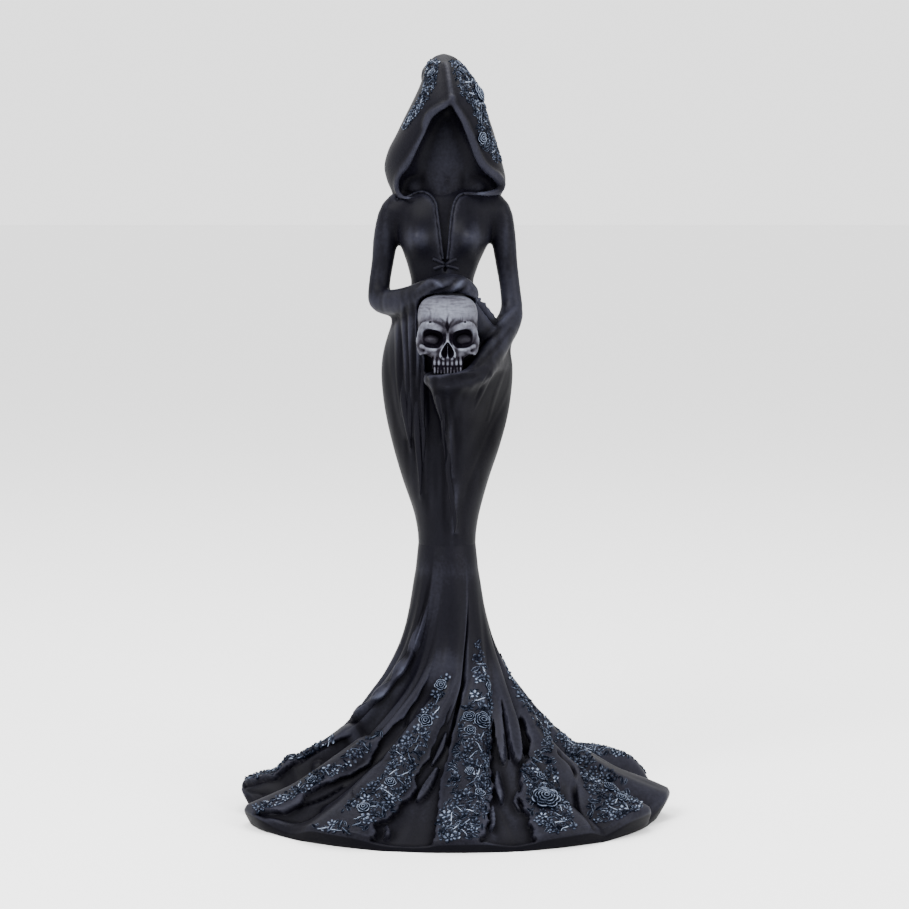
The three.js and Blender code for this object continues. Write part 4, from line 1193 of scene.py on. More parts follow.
# Cloth on the front of the body: height, where it starts and ends across, stand-off at the start and the end.
FRONT_CLOTH = [
    (114, -0.2, 0.6, 0.4, 0.3), (124, -1.2, 1.4, 0.9, 0.3), (134, -1.8, 4, 1.4, 0.2), (145, -2.8, 8.4, 3.0, 0.2),
    (157, -4.8, 13.6, 7.4, 0.2), (165, -7.4, 18, 12.6, 0.2), (171, -8.8, 20.4, 16.6, 0.3),
    (175.4, -9.4, 21.2, 19.0, 0.4), (177.2, -9.6, 21.4, 19.8, 0.4), (178.4, -0.6, 21.6, 19.0, 0.4),
    (179.8, 4.2, 21.6, 16.4, 0.4), (182.6, 8, 21.2, 12, 0.4), (187, 12.6, 22.4, 7.4, 0.5), (192, 17, 24.2, 4.2, 0.6), (197, 20.6, 25, 1.5, 0.6),
]
SLEEVE = [
    (152, -18.8, -11.4, 0.4, 1), (158, -20.6, -11, 0.5, 1.5), (168, -22.8, -11, 0.5, 2.6), (181, -24.6, -11.2, 0.8, 5),
    (191, -24.8, -11.6, 2.2, 8.4), (198, -24.6, -12, 4.6, 11.8), (205, -25.4, -12.4, 5.6, 12.6),
]
# Torn strips below them: x, height, half width, half thickness and stand-off.
STRIPS = [
    [(-21, 188, 1.1, 0.8, 0.1), (-19.6, 168, 1.3, 1.0, 0.4), (-17, 146, 0.4, 0.4, 0.1)],
    [(-16, 190, 1.2, 0.8, 2), (-14.6, 160, 1.3, 1.0, 0.6), (-13, 127, 0.4, 0.4, 0.1)],
    [(-12.4, 190, 1.1, 0.8, 4), (-11.4, 158, 1.1, 1.0, 0.5), (-10.8, 129, 0.4, 0.4, 0.1)],
    [(-5, 169, 1.6, 1.6, 9), (-4.4, 161, 1.4, 1.2, 4), (-4.4, 149, 0.5, 0.5, 0.5)],
]
FLAP = [(6.2, -12.6, 202.6, 2.6, 2), (9.4, -12.6, 196.6, 3.6, 2.2), (13.8, -11, 190.2, 4.2, 2.4), (17.0, -9, 185.6, 3.8, 2.4)]
# The lobes of its torn edge: x, height, size.
FLAP_LOBES = [(9.9, 205.0, 0.8), (11.6, 203.0, 0.9), (13.2, 200.9, 0.8), (14.7, 198.7, 0.9), (16.1, 196.6, 0.8)]
FLAP_EDGE = [
    (8.2, -8, 204.4, 1.2, 1.4), (10.8, -8, 201.4, 1.7, 1.6), (13.4, -8, 198.2, 1.9, 1.6), (15.4, -8, 194.4, 1.8, 1.6),
]


def sheet_form(stations, hold=False, root=2.2, crown=0.7):
    """A sheet on the body's front; hold keeps its stand-off up for longer on the way from its start to its end."""

    def shape(x, y, z):
        begin, end = along(stations, z, 1), along(stations, z, 2)
        share = np.clip((x - begin) / (end - begin), 0, 1)
        lift_end = along(stations, z, 4)
        kept = 1 - share ** 2.2 if hold else (1 - share) ** 1.2
        lift = lift_end + (along(stations, z, 3) - lift_end) * kept
        lift = lift + crown * np.sin(np.pi * share)
        front = front_of(x, z)
        face = (front - lift) - y
        back = y - front - root
        side = np.maximum(begin - x, x - end)
        ends = np.maximum(stations[0][0] - z, z - stations[-1][0])
        return -soft_min(-np.maximum(face * 0.8, back), -np.maximum(side, ends), 1.2)

    low = np.array([min(s[1] for s in stations), -40, stations[0][0]], float)
    high = np.array([max(s[2] for s in stations), 4, stations[-1][0]], float)
    return shape, low, high


def strip_form(stations):
    path = [(x, float(front_of(x, z)) - lift, z, half, thick) for x, z, half, thick, lift in stations]
    return tube_form(path, ACROSS, 6)


# The neckline's edge from the left of the picture to the right: x, z. The dress is open above it.
NECKLINE = [
    (-22.5, 243.2), (-17.7, 244.4), (-15.3, 245.6), (-12.9, 246.2), (-10.9, 245.7), (-9.0, 244.3), (-7.5, 241.9),
    (-7.0, 238.0), (-6.2, 231.8), (-5.5, 225.5), (-4.8, 220.4), (-3.9, 215.6), (-3.3, 215.6), (-2.5, 220.4),
    (-1.9, 225.5), (-1.4, 231.8), (-0.8, 237.5), (0.1, 241.9), (1.6, 244.5), (4.1, 245.5), (8.9, 245.6),
    (15.2, 245.4),
]
NECK_DEEP = 1.7
# Relief pressed into the front: lines of x, z, half width, height.
BODICE_LINES = [
    [(-22.8, 198, 0.9, 0.2), (-22.3, 188, 1.3, 0.5), (-21.8, 172, 1.1, 0.4), (-20.4, 160, 0.7, 0.2)],
    [(-20.2, 204, 0.9, 0.2), (-19.9, 196.7, 1.3, 0.6), (-19.3, 187, 1.2, 0.5), (-18.4, 170, 0.8, 0.3)],
    [(-17.0, 205, 0.9, 0.2), (-17.2, 196.8, 1.1, 0.5), (-17.1, 189.5, 1.2, 0.7), (-16.6, 168, 0.7, 0.3)],
    [(-14.0, 200, 0.8, 0.1), (-13.9, 188, 0.9, 0.5), (-14.4, 172, 0.8, 0.3)],
    [(-21.2, 198, 0.7, -0.2), (-20.9, 188, 0.8, -0.6), (-20.2, 172, 0.7, -0.4)],
    [(-18.9, 202, 0.7, -0.3), (-18.5, 191, 0.8, -0.7), (-17.9, 178, 0.7, -0.5), (-17.8, 166, 0.6, -0.3)],
    [(-15.6, 203, 0.7, -0.3), (-15.5, 194, 0.8, -0.7), (-15.6, 176, 0.7, -0.5)],
    [(-12.9, 198, 0.7, -0.3), (-12.7, 187, 0.8, -0.7), (-13.2, 170, 0.7, -0.4)],
    [(-14.6, 208.6, 1.0, 0.2), (-11.3, 211.2, 1.5, 0.7), (-8.9, 212.6, 1.5, 0.8), (-5.5, 211.2, 1.3, 0.6),
     (-3.4, 209, 0.9, 0.2)],
    [(-1.6, 208.4, 1.0, 0.4), (1.1, 211, 1.4, 0.8), (4.2, 213.2, 1.2, 0.4)],
    [(-8.6, 208, 0.8, -0.4), (-4.6, 209.4, 1.0, -0.8), (-1.6, 210.6, 0.9, -0.6), (0.6, 213.4, 0.7, -0.2)],
    [(-0.6, 207.6, 0.7, -0.3), (2.4, 208.8, 0.9, -0.6), (5.4, 211.2, 0.7, -0.3)],
    [(24.0, 201.5, 1.2, 0.3), (19.6, 197.4, 1.6, 0.7), (13.8, 191.9, 1.6, 0.7), (8.0, 186.4, 1.3, 0.5),
     (4.4, 182, 0.9, 0.2)],
    [(22.0, 194.0, 0.9, -0.2), (16.0, 187.0, 1.1, -0.5), (9.5, 181.0, 0.9, -0.4), (5.5, 178.6, 0.7, -0.2)],
    [(15.8, 178.2, 0.8, 0.2), (12.7, 174, 1.0, 0.4), (10.3, 169.2, 0.9, 0.3), (7.7, 163.6, 0.7, 0.1)],
    [(14.2, 179.0, 0.7, -0.2), (10.8, 173.4, 0.8, -0.4), (8.2, 167.6, 0.7, -0.2)],
    [(20.5, 180, 0.9, 0.1), (16.5, 170, 1.2, 0.25), (13.0, 158, 1.0, 0.15)],
    [(-1.9, 163, 0.9, 0.2), (-1.4, 153.9, 1.5, 0.7), (-0.9, 146, 1.4, 0.6), (-0.5, 136, 0.9, 0.2)],
    [(-3.6, 168, 0.8, -0.2), (-3.0, 158, 0.9, -0.5), (-2.8, 150, 0.7, -0.3)],
]
# Torn ends on the front: x, z, half width, half thickness, lift.
FRONT_TATTERS = [
    [(-20.4, 176, 0.9, 0.6, -1.2), (-19.8, 165.6, 1.6, 0.8, -0.1), (-18.2, 155.0, 1.1, 0.7, 0.1),
     (-17.0, 147.0, 0.25, 0.3, 0.0)],
    [(-17.8, 172, 0.8, 0.6, -1.2), (-17.4, 161, 1.2, 0.7, 0.0), (-17.0, 151, 0.25, 0.3, 0.0)],
    [(-14.9, 172, 0.9, 0.6, -1.3), (-14.6, 156, 1.4, 0.9, 0.0), (-13.6, 140, 1.0, 0.7, 0.1),
     (-13.3, 128.4, 0.2, 0.3, 0.0)],
    [(-12.6, 180, 0.7, 0.6, -1.2), (-12.3, 167.8, 1.0, 0.8, 0.1), (-11.9, 153.0, 0.25, 0.3, 0.0)],
    [(-12.6, 162, 0.6, 0.5, -1.2), (-11.9, 151.6, 1.0, 0.8, 0.1), (-12.2, 141.0, 0.2, 0.3, 0.0)],
    [(-7.4, 172, 0.7, 0.6, -1.2), (-5.9, 165, 1.2, 0.8, 0.0), (-4.4, 156.6, 0.2, 0.3, 0.0)],
    [(-5.2, 166, 0.7, 0.6, -1.2), (-4.2, 155.8, 1.0, 0.8, 0.1), (-3.4, 142.8, 0.2, 0.3, 0.0)],
    [(-1.8, 150, 0.7, 0.5, -1.2), (-2.6, 140.3, 1.3, 0.8, 0.1), (-1.6, 131.5, 1.1, 0.7, 0.1),
     (-0.5, 124.1, 0.8, 0.6, 0.1), (0.3, 118.6, 0.9, 0.7, 0.1), (0.1, 113.6, 0.2, 0.3, 0.0)],
]
PIPING = 0.62
LACES = [
    [(-8.4, 220.8), (-6.0, 219.8), (-3.4, 218.2), (-1.0, 217.6), (1.3, 216.8)],
    [(0.8, 220.6), (-1.2, 219.8), (-3.4, 218.2), (-5.8, 217.6), (-7.9, 216.8)],
]
SKULL_NEST = [
    (177.2, -2.6, 5.8, -36.0, -19.6), (178.6, -2.6, 7.2, -37.4, -16.6), (181, -2.6, 8.4, -40.2, -14.6),
    (183.4, -2.6, 9.8, -40.8, -13.4), (185.6, -2.6, 11.6, -40.6, -12.8), (188.2, -2.6, 12.4, -40.2, -12.4),
    (191.5, -2.6, 12.6, -36, -12.2), (199, -2.6, 12.3, -37.4, -12), (202.6, -2.6, 11.9, -36, -12.8),
    (205.4, -2.6, 10.4, -33.4, -14.6), (207.4, -2.6, 7, -30.4, -17.2), (208, -2.6, 2, -26.4, -21.6),
]


def opening_form():
    line = np.array(NECKLINE, float)

    def shape(x, y, z):
        px, pz = np.broadcast_arrays(x, z)
        away = np.full(px.shape, FAR)
        for (ax, az), (bx, bz) in zip(line[:-1], line[1:]):
            dx, dz = bx - ax, bz - az
            t = np.clip(((px - ax) * dx + (pz - az) * dz) / (dx * dx + dz * dz), 0, 1)
            away = np.minimum(away, np.hypot(px - ax - t * dx, pz - az - t * dz))
        above = pz > np.interp(px, line[:, 0], line[:, 1])
        side = np.where(above, -away, away)
        side = np.maximum(side, np.maximum(line[0, 0] - px, px - line[-1, 0]))
        deep = y - front_of(x, z) - NECK_DEEP
        return np.maximum(side, deep)

    return shape, np.array([-23.0, -26.0, 214.0]), np.array([16.0, 6.0, 249.0])


def pressed(points, faces, lines, front):
    """Points moved out or in along lines given on the front."""
    out = normals_of(points, faces)
    seen = (out[:, 1] < -0.1) & (points[:, 1] < front(points[:, 0], points[:, 2]) + 3)
    p = points[seen]
    height = np.zeros(len(p))
    for line in lines:
        path = curve_through([(x, 0, z, half, rise) for x, z, half, rise in line], 4)
        flat = p * [1, 0, 1]
        height += along_points(flat, path, groove_profile, steps=1)
    points = points.copy()
    points[seen] += out[seen] * (height * np.sqrt(-out[seen, 1]))[:, None]
    return points


def ribbon(surface, stations, bright, sides=10):
    """A strip on the front surface through stations of x, z, half width, half thickness and lift."""
    path = curve_through(stations, 7)
    place, out = surface.at(-path[:, 1], path[:, 0])
    out = out / np.linalg.norm(out, axis=1, keepdims=True)
    ahead = np.gradient(place, axis=0)
    ahead /= np.linalg.norm(ahead, axis=1, keepdims=True)
    across = np.cross(ahead, out)
    across /= np.linalg.norm(across, axis=1, keepdims=True)
    angle = np.arange(sides) * 2 * math.pi / sides
    half, thick = np.maximum(path[:, 2:3], 0.12), np.maximum(path[:, 3:4], 0.12)
    u = half * np.cos(angle)
    w = thick * np.sin(angle) + path[:, 4:5]
    rings = place[:, None] + across[:, None] * u[..., None] + out[:, None] * w[..., None]
    count = len(path)
    points = np.concatenate([rings.reshape(-1, 3), rings[0].mean(0)[None], rings[-1].mean(0)[None]])
    i, k = np.meshgrid(np.arange(count - 1), np.arange(sides), indexing="ij")
    a, b = i * sides + k, i * sides + (k + 1) % sides
    faces = [np.stack([a, b + sides, b], -1).reshape(-1, 3), np.stack([a, a + sides, b + sides], -1).reshape(-1, 3)]
    k = np.arange(sides)
    beside = (k + 1) % sides
    last = (count - 1) * sides
    faces.append(np.stack([np.full(sides, len(points) - 2), k, beside], 1))
    faces.append(np.stack([np.full(sides, len(points) - 1), last + beside, last + k], 1))
    # Lighter on the side that faces out and darker on the side towards the surface: dry-brushed outside, painted shade
    # inside.
    crest = np.concatenate([np.tile(bright * np.sin(angle), count), [0, 0]])
    return points, np.concatenate(faces), crest


def joined(parts):
    points, faces, crest = [], [], []
    first = 0
    for part_points, part_faces, part_crest in parts:
        points.append(part_points)
        faces.append(part_faces + first)
        crest.append(part_crest)
        first += len(part_points)
    return np.concatenate(points), np.concatenate(faces), np.concatenate(crest)


def dry_strokes(points):
    """Thin strokes of the dry brush that run down the cloth, stronger over its torn edges."""
    x, z = points[:, 0], points[:, 2]
    torn = smoothstep(z, 192, 184) * smoothstep(z, 112, 120) * smoothstep(x, 6, 0)
    return noise(points * [0.62, 0.3, 0.05], 1.0, 31) * (0.1 + 0.16 * torn)


def bodice():
    clay = Clay((-37, -42, KNEE_HEIGHT - 3), (31, 30, 254), 0.64)
    everywhere = (clay.low + 1, clay.low + clay.step * clay.count - 1)
    clay.add(dress_form(*everywhere))
    clay.add(tube_form(LEFT_UPPER_ARM, DEPTHWISE), 3.0)
    clay.add(tube_form(RIGHT_UPPER_ARM, DEPTHWISE), 3.0)
    clay.cut(opening_form(), 0.5)
    clay.add(tube_form(LEFT_FOREARM, UPRIGHT), 2.0)
    clay.add(tube_form(RIGHT_FOREARM, UPRIGHT), 2.0)
    clay.add(sheet_form(FRONT_CLOTH, hold=True), 3.0)
    clay.add(sheet_form(SLEEVE), 2.4)
    for stations in STRIPS:
        clay.add(strip_form(stations), 0.8)
    clay.add(tube_form(FLAP, UPRIGHT), 1.0)
    clay.add(tube_form(FLAP_EDGE, ACROSS), 1.0)
    for x, z, size in FLAP_LOBES:
        clay.add(block_form((x, -8.0, z), (size, 1.6, size)), 0.3)
    heights = np.arange(252, 106, -0.6)
    front = Surface(-heights, np.arange(-33, 28.5, 0.6), clay.front(np.arange(-33, 28.5, 0.6), heights))
    clay.cut(ring_form(SKULL_NEST, np.array([-17, -42, 176]), np.array([12, -10, 209])), 0.4)
    points, faces = clay.net()
    points = smoothed(points, faces, 4)
    points = pressed(points, faces, BODICE_LINES, lambda x, z: front.at(-z, x)[0][..., 1])
    crest = crest_of(points, faces, 10) * smoothstep(points[:, 2], KNEE_HEIGHT, KNEE_HEIGHT + 6) / 0.75
    # Painted light and shade by height, painted shade over the right hip, and strokes of the dry brush.
    hip_shade = smoothstep(points[:, 2], 136, 150) * smoothstep(points[:, 2], 184, 166) * smoothstep(points[:, 0], 4, 14)
    crest += along(BODICE_LIGHT_AND_SHADE, points[:, 2]) - 0.3 * hip_shade + dry_strokes(points)
    make_piece("bodice", points, faces, DARK, "dark_resin", crest)
    tatters = [ribbon(front, stations, 0.05) for stations in FRONT_TATTERS]
    make_piece("torn_ends", *joined(tatters)[:2], DARK, "dark_resin", joined(tatters)[2])
    middle = NECKLINE.index((-3.9, 215.6))
    edges = [NECKLINE[:middle], NECKLINE[middle + 2:]]
    pipes = [ribbon(front, [(x, z, PIPING, PIPING, 0.2) for x, z in edge], 0.4) for edge in edges]
    laces = [ribbon(front, [(x, z, 0.72, 0.55, 0.3) for x, z in line], 0.3) for line in LACES]
    make_piece("neckline_piping", *joined(pipes + laces)[:2], DARK, "dark_resin", joined(pipes + laces)[2])


# The hood.
TIP = [(-1, 2, 296.4, 3, 2.4), (-5, 5, 296.6, 5, 3), (-9.6, 8.5, 293.4, 5, 3), (-11.4, 11, 289.8, 2.6, 1.6)]
FACE = ((-3.0, 2.0, 262.0), (14.5, 10.0, 20.0))
NECK = [(-4.6, 0.3, 241, 7.0, 7.4), (-4.6, 0.3, 247.5, 6.8, 7.4), (-4.2, 1.0, 256, 8.4, 7.8)]
# The lining on both sides of the neck.
LINING = ((-3.5, 5.5, 249.0), (18.5, 9.6, 6.5), 2.5)
# Rims of the hollow, from the top down: x, z, half width, half thickness.
LEFT_RIM = [
    (-1.0, 281.0, 0.9, 0.9), (-4.4, 278.8, 1.2, 1.2), (-7.4, 277.2, 1.3, 1.2), (-9.8, 275.0, 1.3, 1.2),
    (-10.9, 272.4, 1.1, 1.1), (-11.5, 269.6, 0.5, 0.7), (-12.8, 266.8, 0.35, 0.5), (-15.6, 262.2, 0.35, 0.5),
    (-19.0, 257.0, 0.4, 0.5), (-22.2, 251.9, 0.5, 0.7), (-22.6, 247.5, 0.6, 0.8), (-20.8, 244.9, 0.6, 0.8),
]
RIGHT_RIM = [
    (-1.0, 281.0, 0.9, 0.9), (1.1, 277.4, 1.1, 1.0), (3.5, 273.6, 1.2, 1.1), (5.2, 269.8, 1.3, 1.2),
    (6.8, 266.1, 1.4, 1.3), (8.8, 260.8, 1.5, 1.4), (10.9, 257.0, 1.6, 1.5), (13.8, 254.2, 1.7, 1.6),
    (16.6, 252.2, 1.8, 1.8), (18.3, 249.6, 1.7, 1.8), (17.4, 247.0, 1.4, 1.6), (14.4, 246.0, 1.0, 1.2),
]
# Where the rims run out on the shoulders: x, y, z, half width, half thickness.
LEFT_RIM_END = [(-18.2, -9.0, 244.1, 0.5, 0.7), (-15.0, -7.6, 244.6, 0.2, 0.3)]
RIGHT_RIM_END = [(10.6, -10.0, 245.7, 0.7, 0.9), (6.6, -8.4, 245.6, 0.4, 0.5), (3.4, -8.2, 245.4, 0.2, 0.2)]
HOOD_RIDGE = [(-3.4, 296, 0.6, 0.4), (-2.7, 293.6, 0.9, 0.9), (-2.0, 288, 1.0, 1.1), (-1.2, 282.2, 1.1, 1.1)]
HOOD_BANDS = {
    "flowers_hood_left": [
        (3.0, -84, -20), (6, -70, -24), (10, -62, -28), (15, -54, -30), (19, -58, -36), (23, -64, -44),
        (26, -66, -50), (29, -66, -56),
    ],
    "flowers_hood_right": [
        (3.0, 20, 110), (6, 18, 106), (10, 18, 100), (14, 18, 92), (17, 24, 86), (20, 36, 82), (24, 42, 78),
        (28, 43, 72), (33, 40, 74), (37, 46, 80), (41.5, 60, 84),
    ],
}
HOOD_ROSES = [
    ("flowers_hood_right", 15.8, 64, 3.6, 4), ("flowers_hood_right", 33.0, 46, 2.4, 3),
    ("flowers_hood_right", 7.0, 44, 1.8, 3), ("flowers_hood_left", 8.0, -40, 1.9, 3),
]


def rim_at(x, z):
    """The place on the hood's front for a place in the picture's plane."""
    front, back = float(along(HOOD, z, 3)), float(along(HOOD, z, 4))
    share = np.clip((x - float(along(HOOD, z, 1))) / float(along(HOOD, z, 2)), -0.93, 0.93)
    depth = (back - front) / 2
    return front + depth * (1 - math.sqrt(1 - share * share))


def rim_stations(rows):
    return [(x, rim_at(x, z), z, half, thick) for x, z, half, thick in rows]


def hollow_form():
    rims = np.array([(row[0], rim_at(row[1] + row[2], row[0])) for row in HOLLOW])

    def shape(x, y, z):
        middle = along(HOLLOW, z, 1)
        half = np.maximum(along(HOLLOW, z, 2), 0.3)
        back = along(HOLLOW, z, 3)
        rim = along(rims, z, 1)
        behind = np.maximum(y - rim, 0) / np.maximum(back - rim, 0.5)
        u = (x - middle) / half
        q = np.sqrt(u * u + behind * behind + 1e-6)
        r = np.sqrt((x - middle) ** 2 + np.maximum(y - rim, 0) ** 2 + 1e-6)
        return np.maximum(r - r / q, z - HOLLOW[-1][0] - 0.5)

    return shape, np.array([-26, -40, 236]), np.array([20, 10, 282])


def hood_surface():
    rows = np.linspace(0.5, 56, 120)
    angle = np.linspace(-180, 180, 181)
    turn, down = np.meshgrid(np.radians(angle), rows)
    z = HOOD[-1][0] - down
    front, back = along(HOOD, z, 3), along(HOOD, z, 4)
    x = along(HOOD, z, 1) + along(HOOD, z, 2) * np.sin(turn)
    y = (front + back) / 2 - (back - front) / 2 * np.cos(turn)
    return Surface(rows, angle, np.stack([x, y, z], -1))


def hood():
    clay = Clay((-31, -30, 238), (23, 28, 303), 0.52)
    everywhere = (clay.low + 1, clay.low + clay.step * clay.count - 1)
    clay.add(ring_form(HOOD, *everywhere))
    clay.cut(hollow_form(), 1.2)
    clay.add(tube_form(rim_stations(LEFT_RIM) + LEFT_RIM_END, ACROSS), 2.0)
    clay.add(tube_form(rim_stations(RIGHT_RIM) + RIGHT_RIM_END, ACROSS), 1.6)
    clay.add(tube_form(rim_stations(HOOD_RIDGE), ACROSS), 2.0)
    clay.add(tube_form(TIP, DEPTHWISE), 1.2)
    inner = [block_form(*FACE), tube_form(NECK, ACROSS), block_form(*LINING)]
    for form, soft in zip(inner, (7.0, 3.0, 1.6)):
        clay.add(form, soft)
    points, faces = clay.net()
    points = smoothed(points, faces, 4)
    # Painted light on the forms inside the hood, and painted shade in a band beside the neck.
    lit = hollows(points, inner, 6) * smoothstep(points[:, 2], 243, 252)
    beside_neck = np.abs(points[:, 0] - NECK[0][0]) - NECK[0][3]
    neck_side_shade = np.exp(-((beside_neck - 0.6) / 1.1) ** 2) * smoothstep(points[:, 2], 256, 250)
    crest = crest_of(points, faces, 10) / 0.7 + lit * (0.34 - neck_side_shade)
    make_piece("hood", points, faces, DARK, "dark_resin", crest)
    surface = hood_surface()
    for number, (name, band) in enumerate(HOOD_BANDS.items()):
        garland = Garland(surface)
        for owner, row, column, size, layers in HOOD_ROSES:
            if owner == name:
                garland.put(rose(size, layers, row), row, column, column, tone=0.0)
                garland.keep(row, column, size * 0.8)
        fill(garland, band, np.random.default_rng(71 + number), share=0.6, scale=0.78)
        garland.mesh(name)


# The skull. Lines and places are given for its left half: sideways from its middle, y, z and sizes.
SKULL_X = -2.6
CRANIUM = ((0, -24.6, 197.6), (11.5, 12.3, 9.7), 3.0)
FACE_BLOCK = ((0, -27.6, 191.2), (9.8, 9.0, 5.0), 2.8)
MIDFACE = ((0, -29.4, 186.7), (8.8, 7.2, 3.7), 2.8)
NOSE = ((0, -33.6, 186.8), (3.7, 4.2, 4.8), 2.4)
MAXILLA = ((0, -30, 183.2), (5.9, 6.2, 6.2), 2.8)
JAW = ((0, -28.5, 179.6), (5.4, 6.4, 2.9), 2.5)
BROW = [
    (1.7, -37.0, 194.0, 1.1, 1.1), (3.4, -37.8, 195.0, 1.3, 1.3), (6.2, -37.6, 196.0, 1.3, 1.3),
    (9.0, -35.6, 195.8, 1.3, 1.2), (10.6, -32.8, 193.0, 0.9, 0.9), (10.7, -32.0, 189.8, 0.8, 0.8),
]
SOCKET_LOW = [(9.9, -33.6, 188.0, 0.8, 0.8), (6.6, -35.4, 187.0, 0.7, 0.7), (3.6, -36.2, 187.2, 0.6, 0.6),
              (2.2, -36.7, 188.4, 0.5, 0.5)]
CHEEKBONE = [
    (9.8, -18.5, 191.8, 0.8, 0.7), (10.7, -23, 190.9, 1.3, 1.0), (11.0, -28, 189.6, 1.7, 1.1),
    (10.5, -31.8, 187.4, 1.8, 1.1), (9.1, -33.3, 184.9, 1.1, 1.0), (7.2, -34.7, 186.7, 0.9, 0.9),
]
NASAL = [(0, -36.6, 193.8, 0.45, 0.8), (0, -37.6, 190.4, 0.3, 0.6)]
NOSE_RIM = [(0.1, -37.6, 190.3, 0.4, 0.45), (1.2, -37.9, 188.3, 0.4, 0.45), (2.2, -37.5, 186.5, 0.4, 0.45),
            (2.75, -37.1, 185.0, 0.42, 0.45), (2.3, -36.9, 183.7, 0.4, 0.45), (1.2, -36.8, 183.2, 0.35, 0.4)]
NOSE_HOLE = [(0.1, -38.4, 189.3, 0.3, 3.0), (0.8, -38.0, 187.5, 0.8, 3.0), (1.25, -37.7, 185.6, 1.15, 3.0),
             (1.1, -37.5, 184.5, 0.8, 2.8)]
SOCKET = ((5.9, -36.8, 191.0), (4.15, 5.6, 3.5), 2.6, -7)
LID = ((6.0, -31.6, 190.1), (3.7, 2.5, 2.6), 2.0, -7)
VOID = ((8.9, -36.5, 181.0), (2.8, 9.5, 4.2), 2.0, 0)
TEMPLE = ((13.6, -29, 196), (2.4, 7, 3.6), 2.0, 0)
PIT = ((6.6, -36.8, 197.1), (0.5, 1.2, 0.5), 2.0, 0)
CRACKS = [
    [(0.3, 205.5, 0.25, -0.12), (-0.3, 202.5, 0.3, -0.15), (0.2, 200.0, 0.3, -0.2), (-0.2, 198.0, 0.4, -0.5),
     (0.0, 195.5, 0.6, -0.9), (0.0, 193.5, 0.4, -0.5)],
    [(-8.5, 203, 0.25, -0.12), (-6.5, 201.2, 0.3, -0.15), (-6.8, 198.8, 0.25, -0.12)],
    [(-3.0, 198.6, 0.3, -0.25), (-1.4, 197.6, 0.4, -0.35), (-0.4, 195.4, 0.4, -0.4)],
    [(3.2, 198.8, 0.3, -0.25), (1.5, 197.4, 0.4, -0.35), (0.4, 195.4, 0.4, -0.4)],
]
TOOTH_ROWS = [(181.8, 1.2, 1.62, 0.72), (179.1, 1.45, 1.22, 0.54)]  # z, half height, spacing, half width
TEETH_HALF = 4.9
# Lighter and darker patches on both halves, partly wash and partly painted light and shade, such as the painted shadow
# of the cloth across the top of the forehead: sideways from the middle, z, how wide and tall they spread, tone.
BONE_WASHES_AND_SHADE = [
    (0, 207.8, 15, 1.6, -0.6), (0, 200.8, 6.5, 2.6, 0.2), (2.8, 193.7, 1.5, 1.4, -0.6),
    (1.5, 190.6, 0.7, 2.2, -0.7), (10.9, 191.6, 0.9, 2.6, -0.6), (3.5, 187.3, 0.9, 1.5, -0.75),
    (8.2, 188.3, 1.6, 0.9, -0.15), (9.6, 185.4, 1.3, 1.2, 0.2), (4.0, 183.0, 1.6, 1.6, 0.3),
    (6.2, 184.8, 1.2, 1.6, 0.4), (0, 182.2, 4.0, 1.1, 0.3), (0, 178.7, 5.0, 1.1, -0.5),
    (6.1, 190.6, 1.9, 1.3, 0.24), (0, 191.4, 0.7, 1.8, -0.45),
]
BITE = 180.6


def mirrored(stations):
    return [[(SKULL_X + side * row[0], *row[1:]) for row in stations] for side in (-1, 1)]


def both_blocks(centre, radii, power, turn):
    return [block_form((SKULL_X + side * centre[0], *centre[1:]), radii, power, side * -turn) for side in (-1, 1)]


def tooth_lines(x, z):
    """Dark lines between the teeth and between their rows, dark wash with painted shade in the gaps: 1 in the middle
    of a line.
    """
    lines = np.exp(-((z - BITE) / 0.2) ** 2)
    for level, tall, spacing, wide in TOOTH_ROWS:
        off = np.abs((x / spacing) % 1 - 0.5) * spacing
        here = np.abs(z - level) < tall + (1.2 if level > BITE else 0)
        lines = np.maximum(lines, np.exp(-(off / 0.22) ** 2) * here)
    return lines * (np.abs(x) < 4.2 * TOOTH_ROWS[0][2])


def brush_strokes(points):
    """Thin level and upright strokes of wash over the forehead, from -1 to 1."""
    level = noise(points * [0.5, 0.1, 3.0], 1.0, 11)
    upright = noise(points * [2.4, 0.1, 0.6], 1.0, 12)
    top = smoothstep(points[:, 2], 198.5, 202)
    return level * top + upright * (1 - top) + 0.5 * noise(points, 1.3, 13)


def hollows(points, forms, margin):
    """How far points lie within any of some forms, from 0 outside them to 1."""
    x, y, z = points.T
    depth = np.min([shape(x, y, z) for shape, _, _ in forms], axis=0)
    return smoothstep(-depth, -margin, margin)


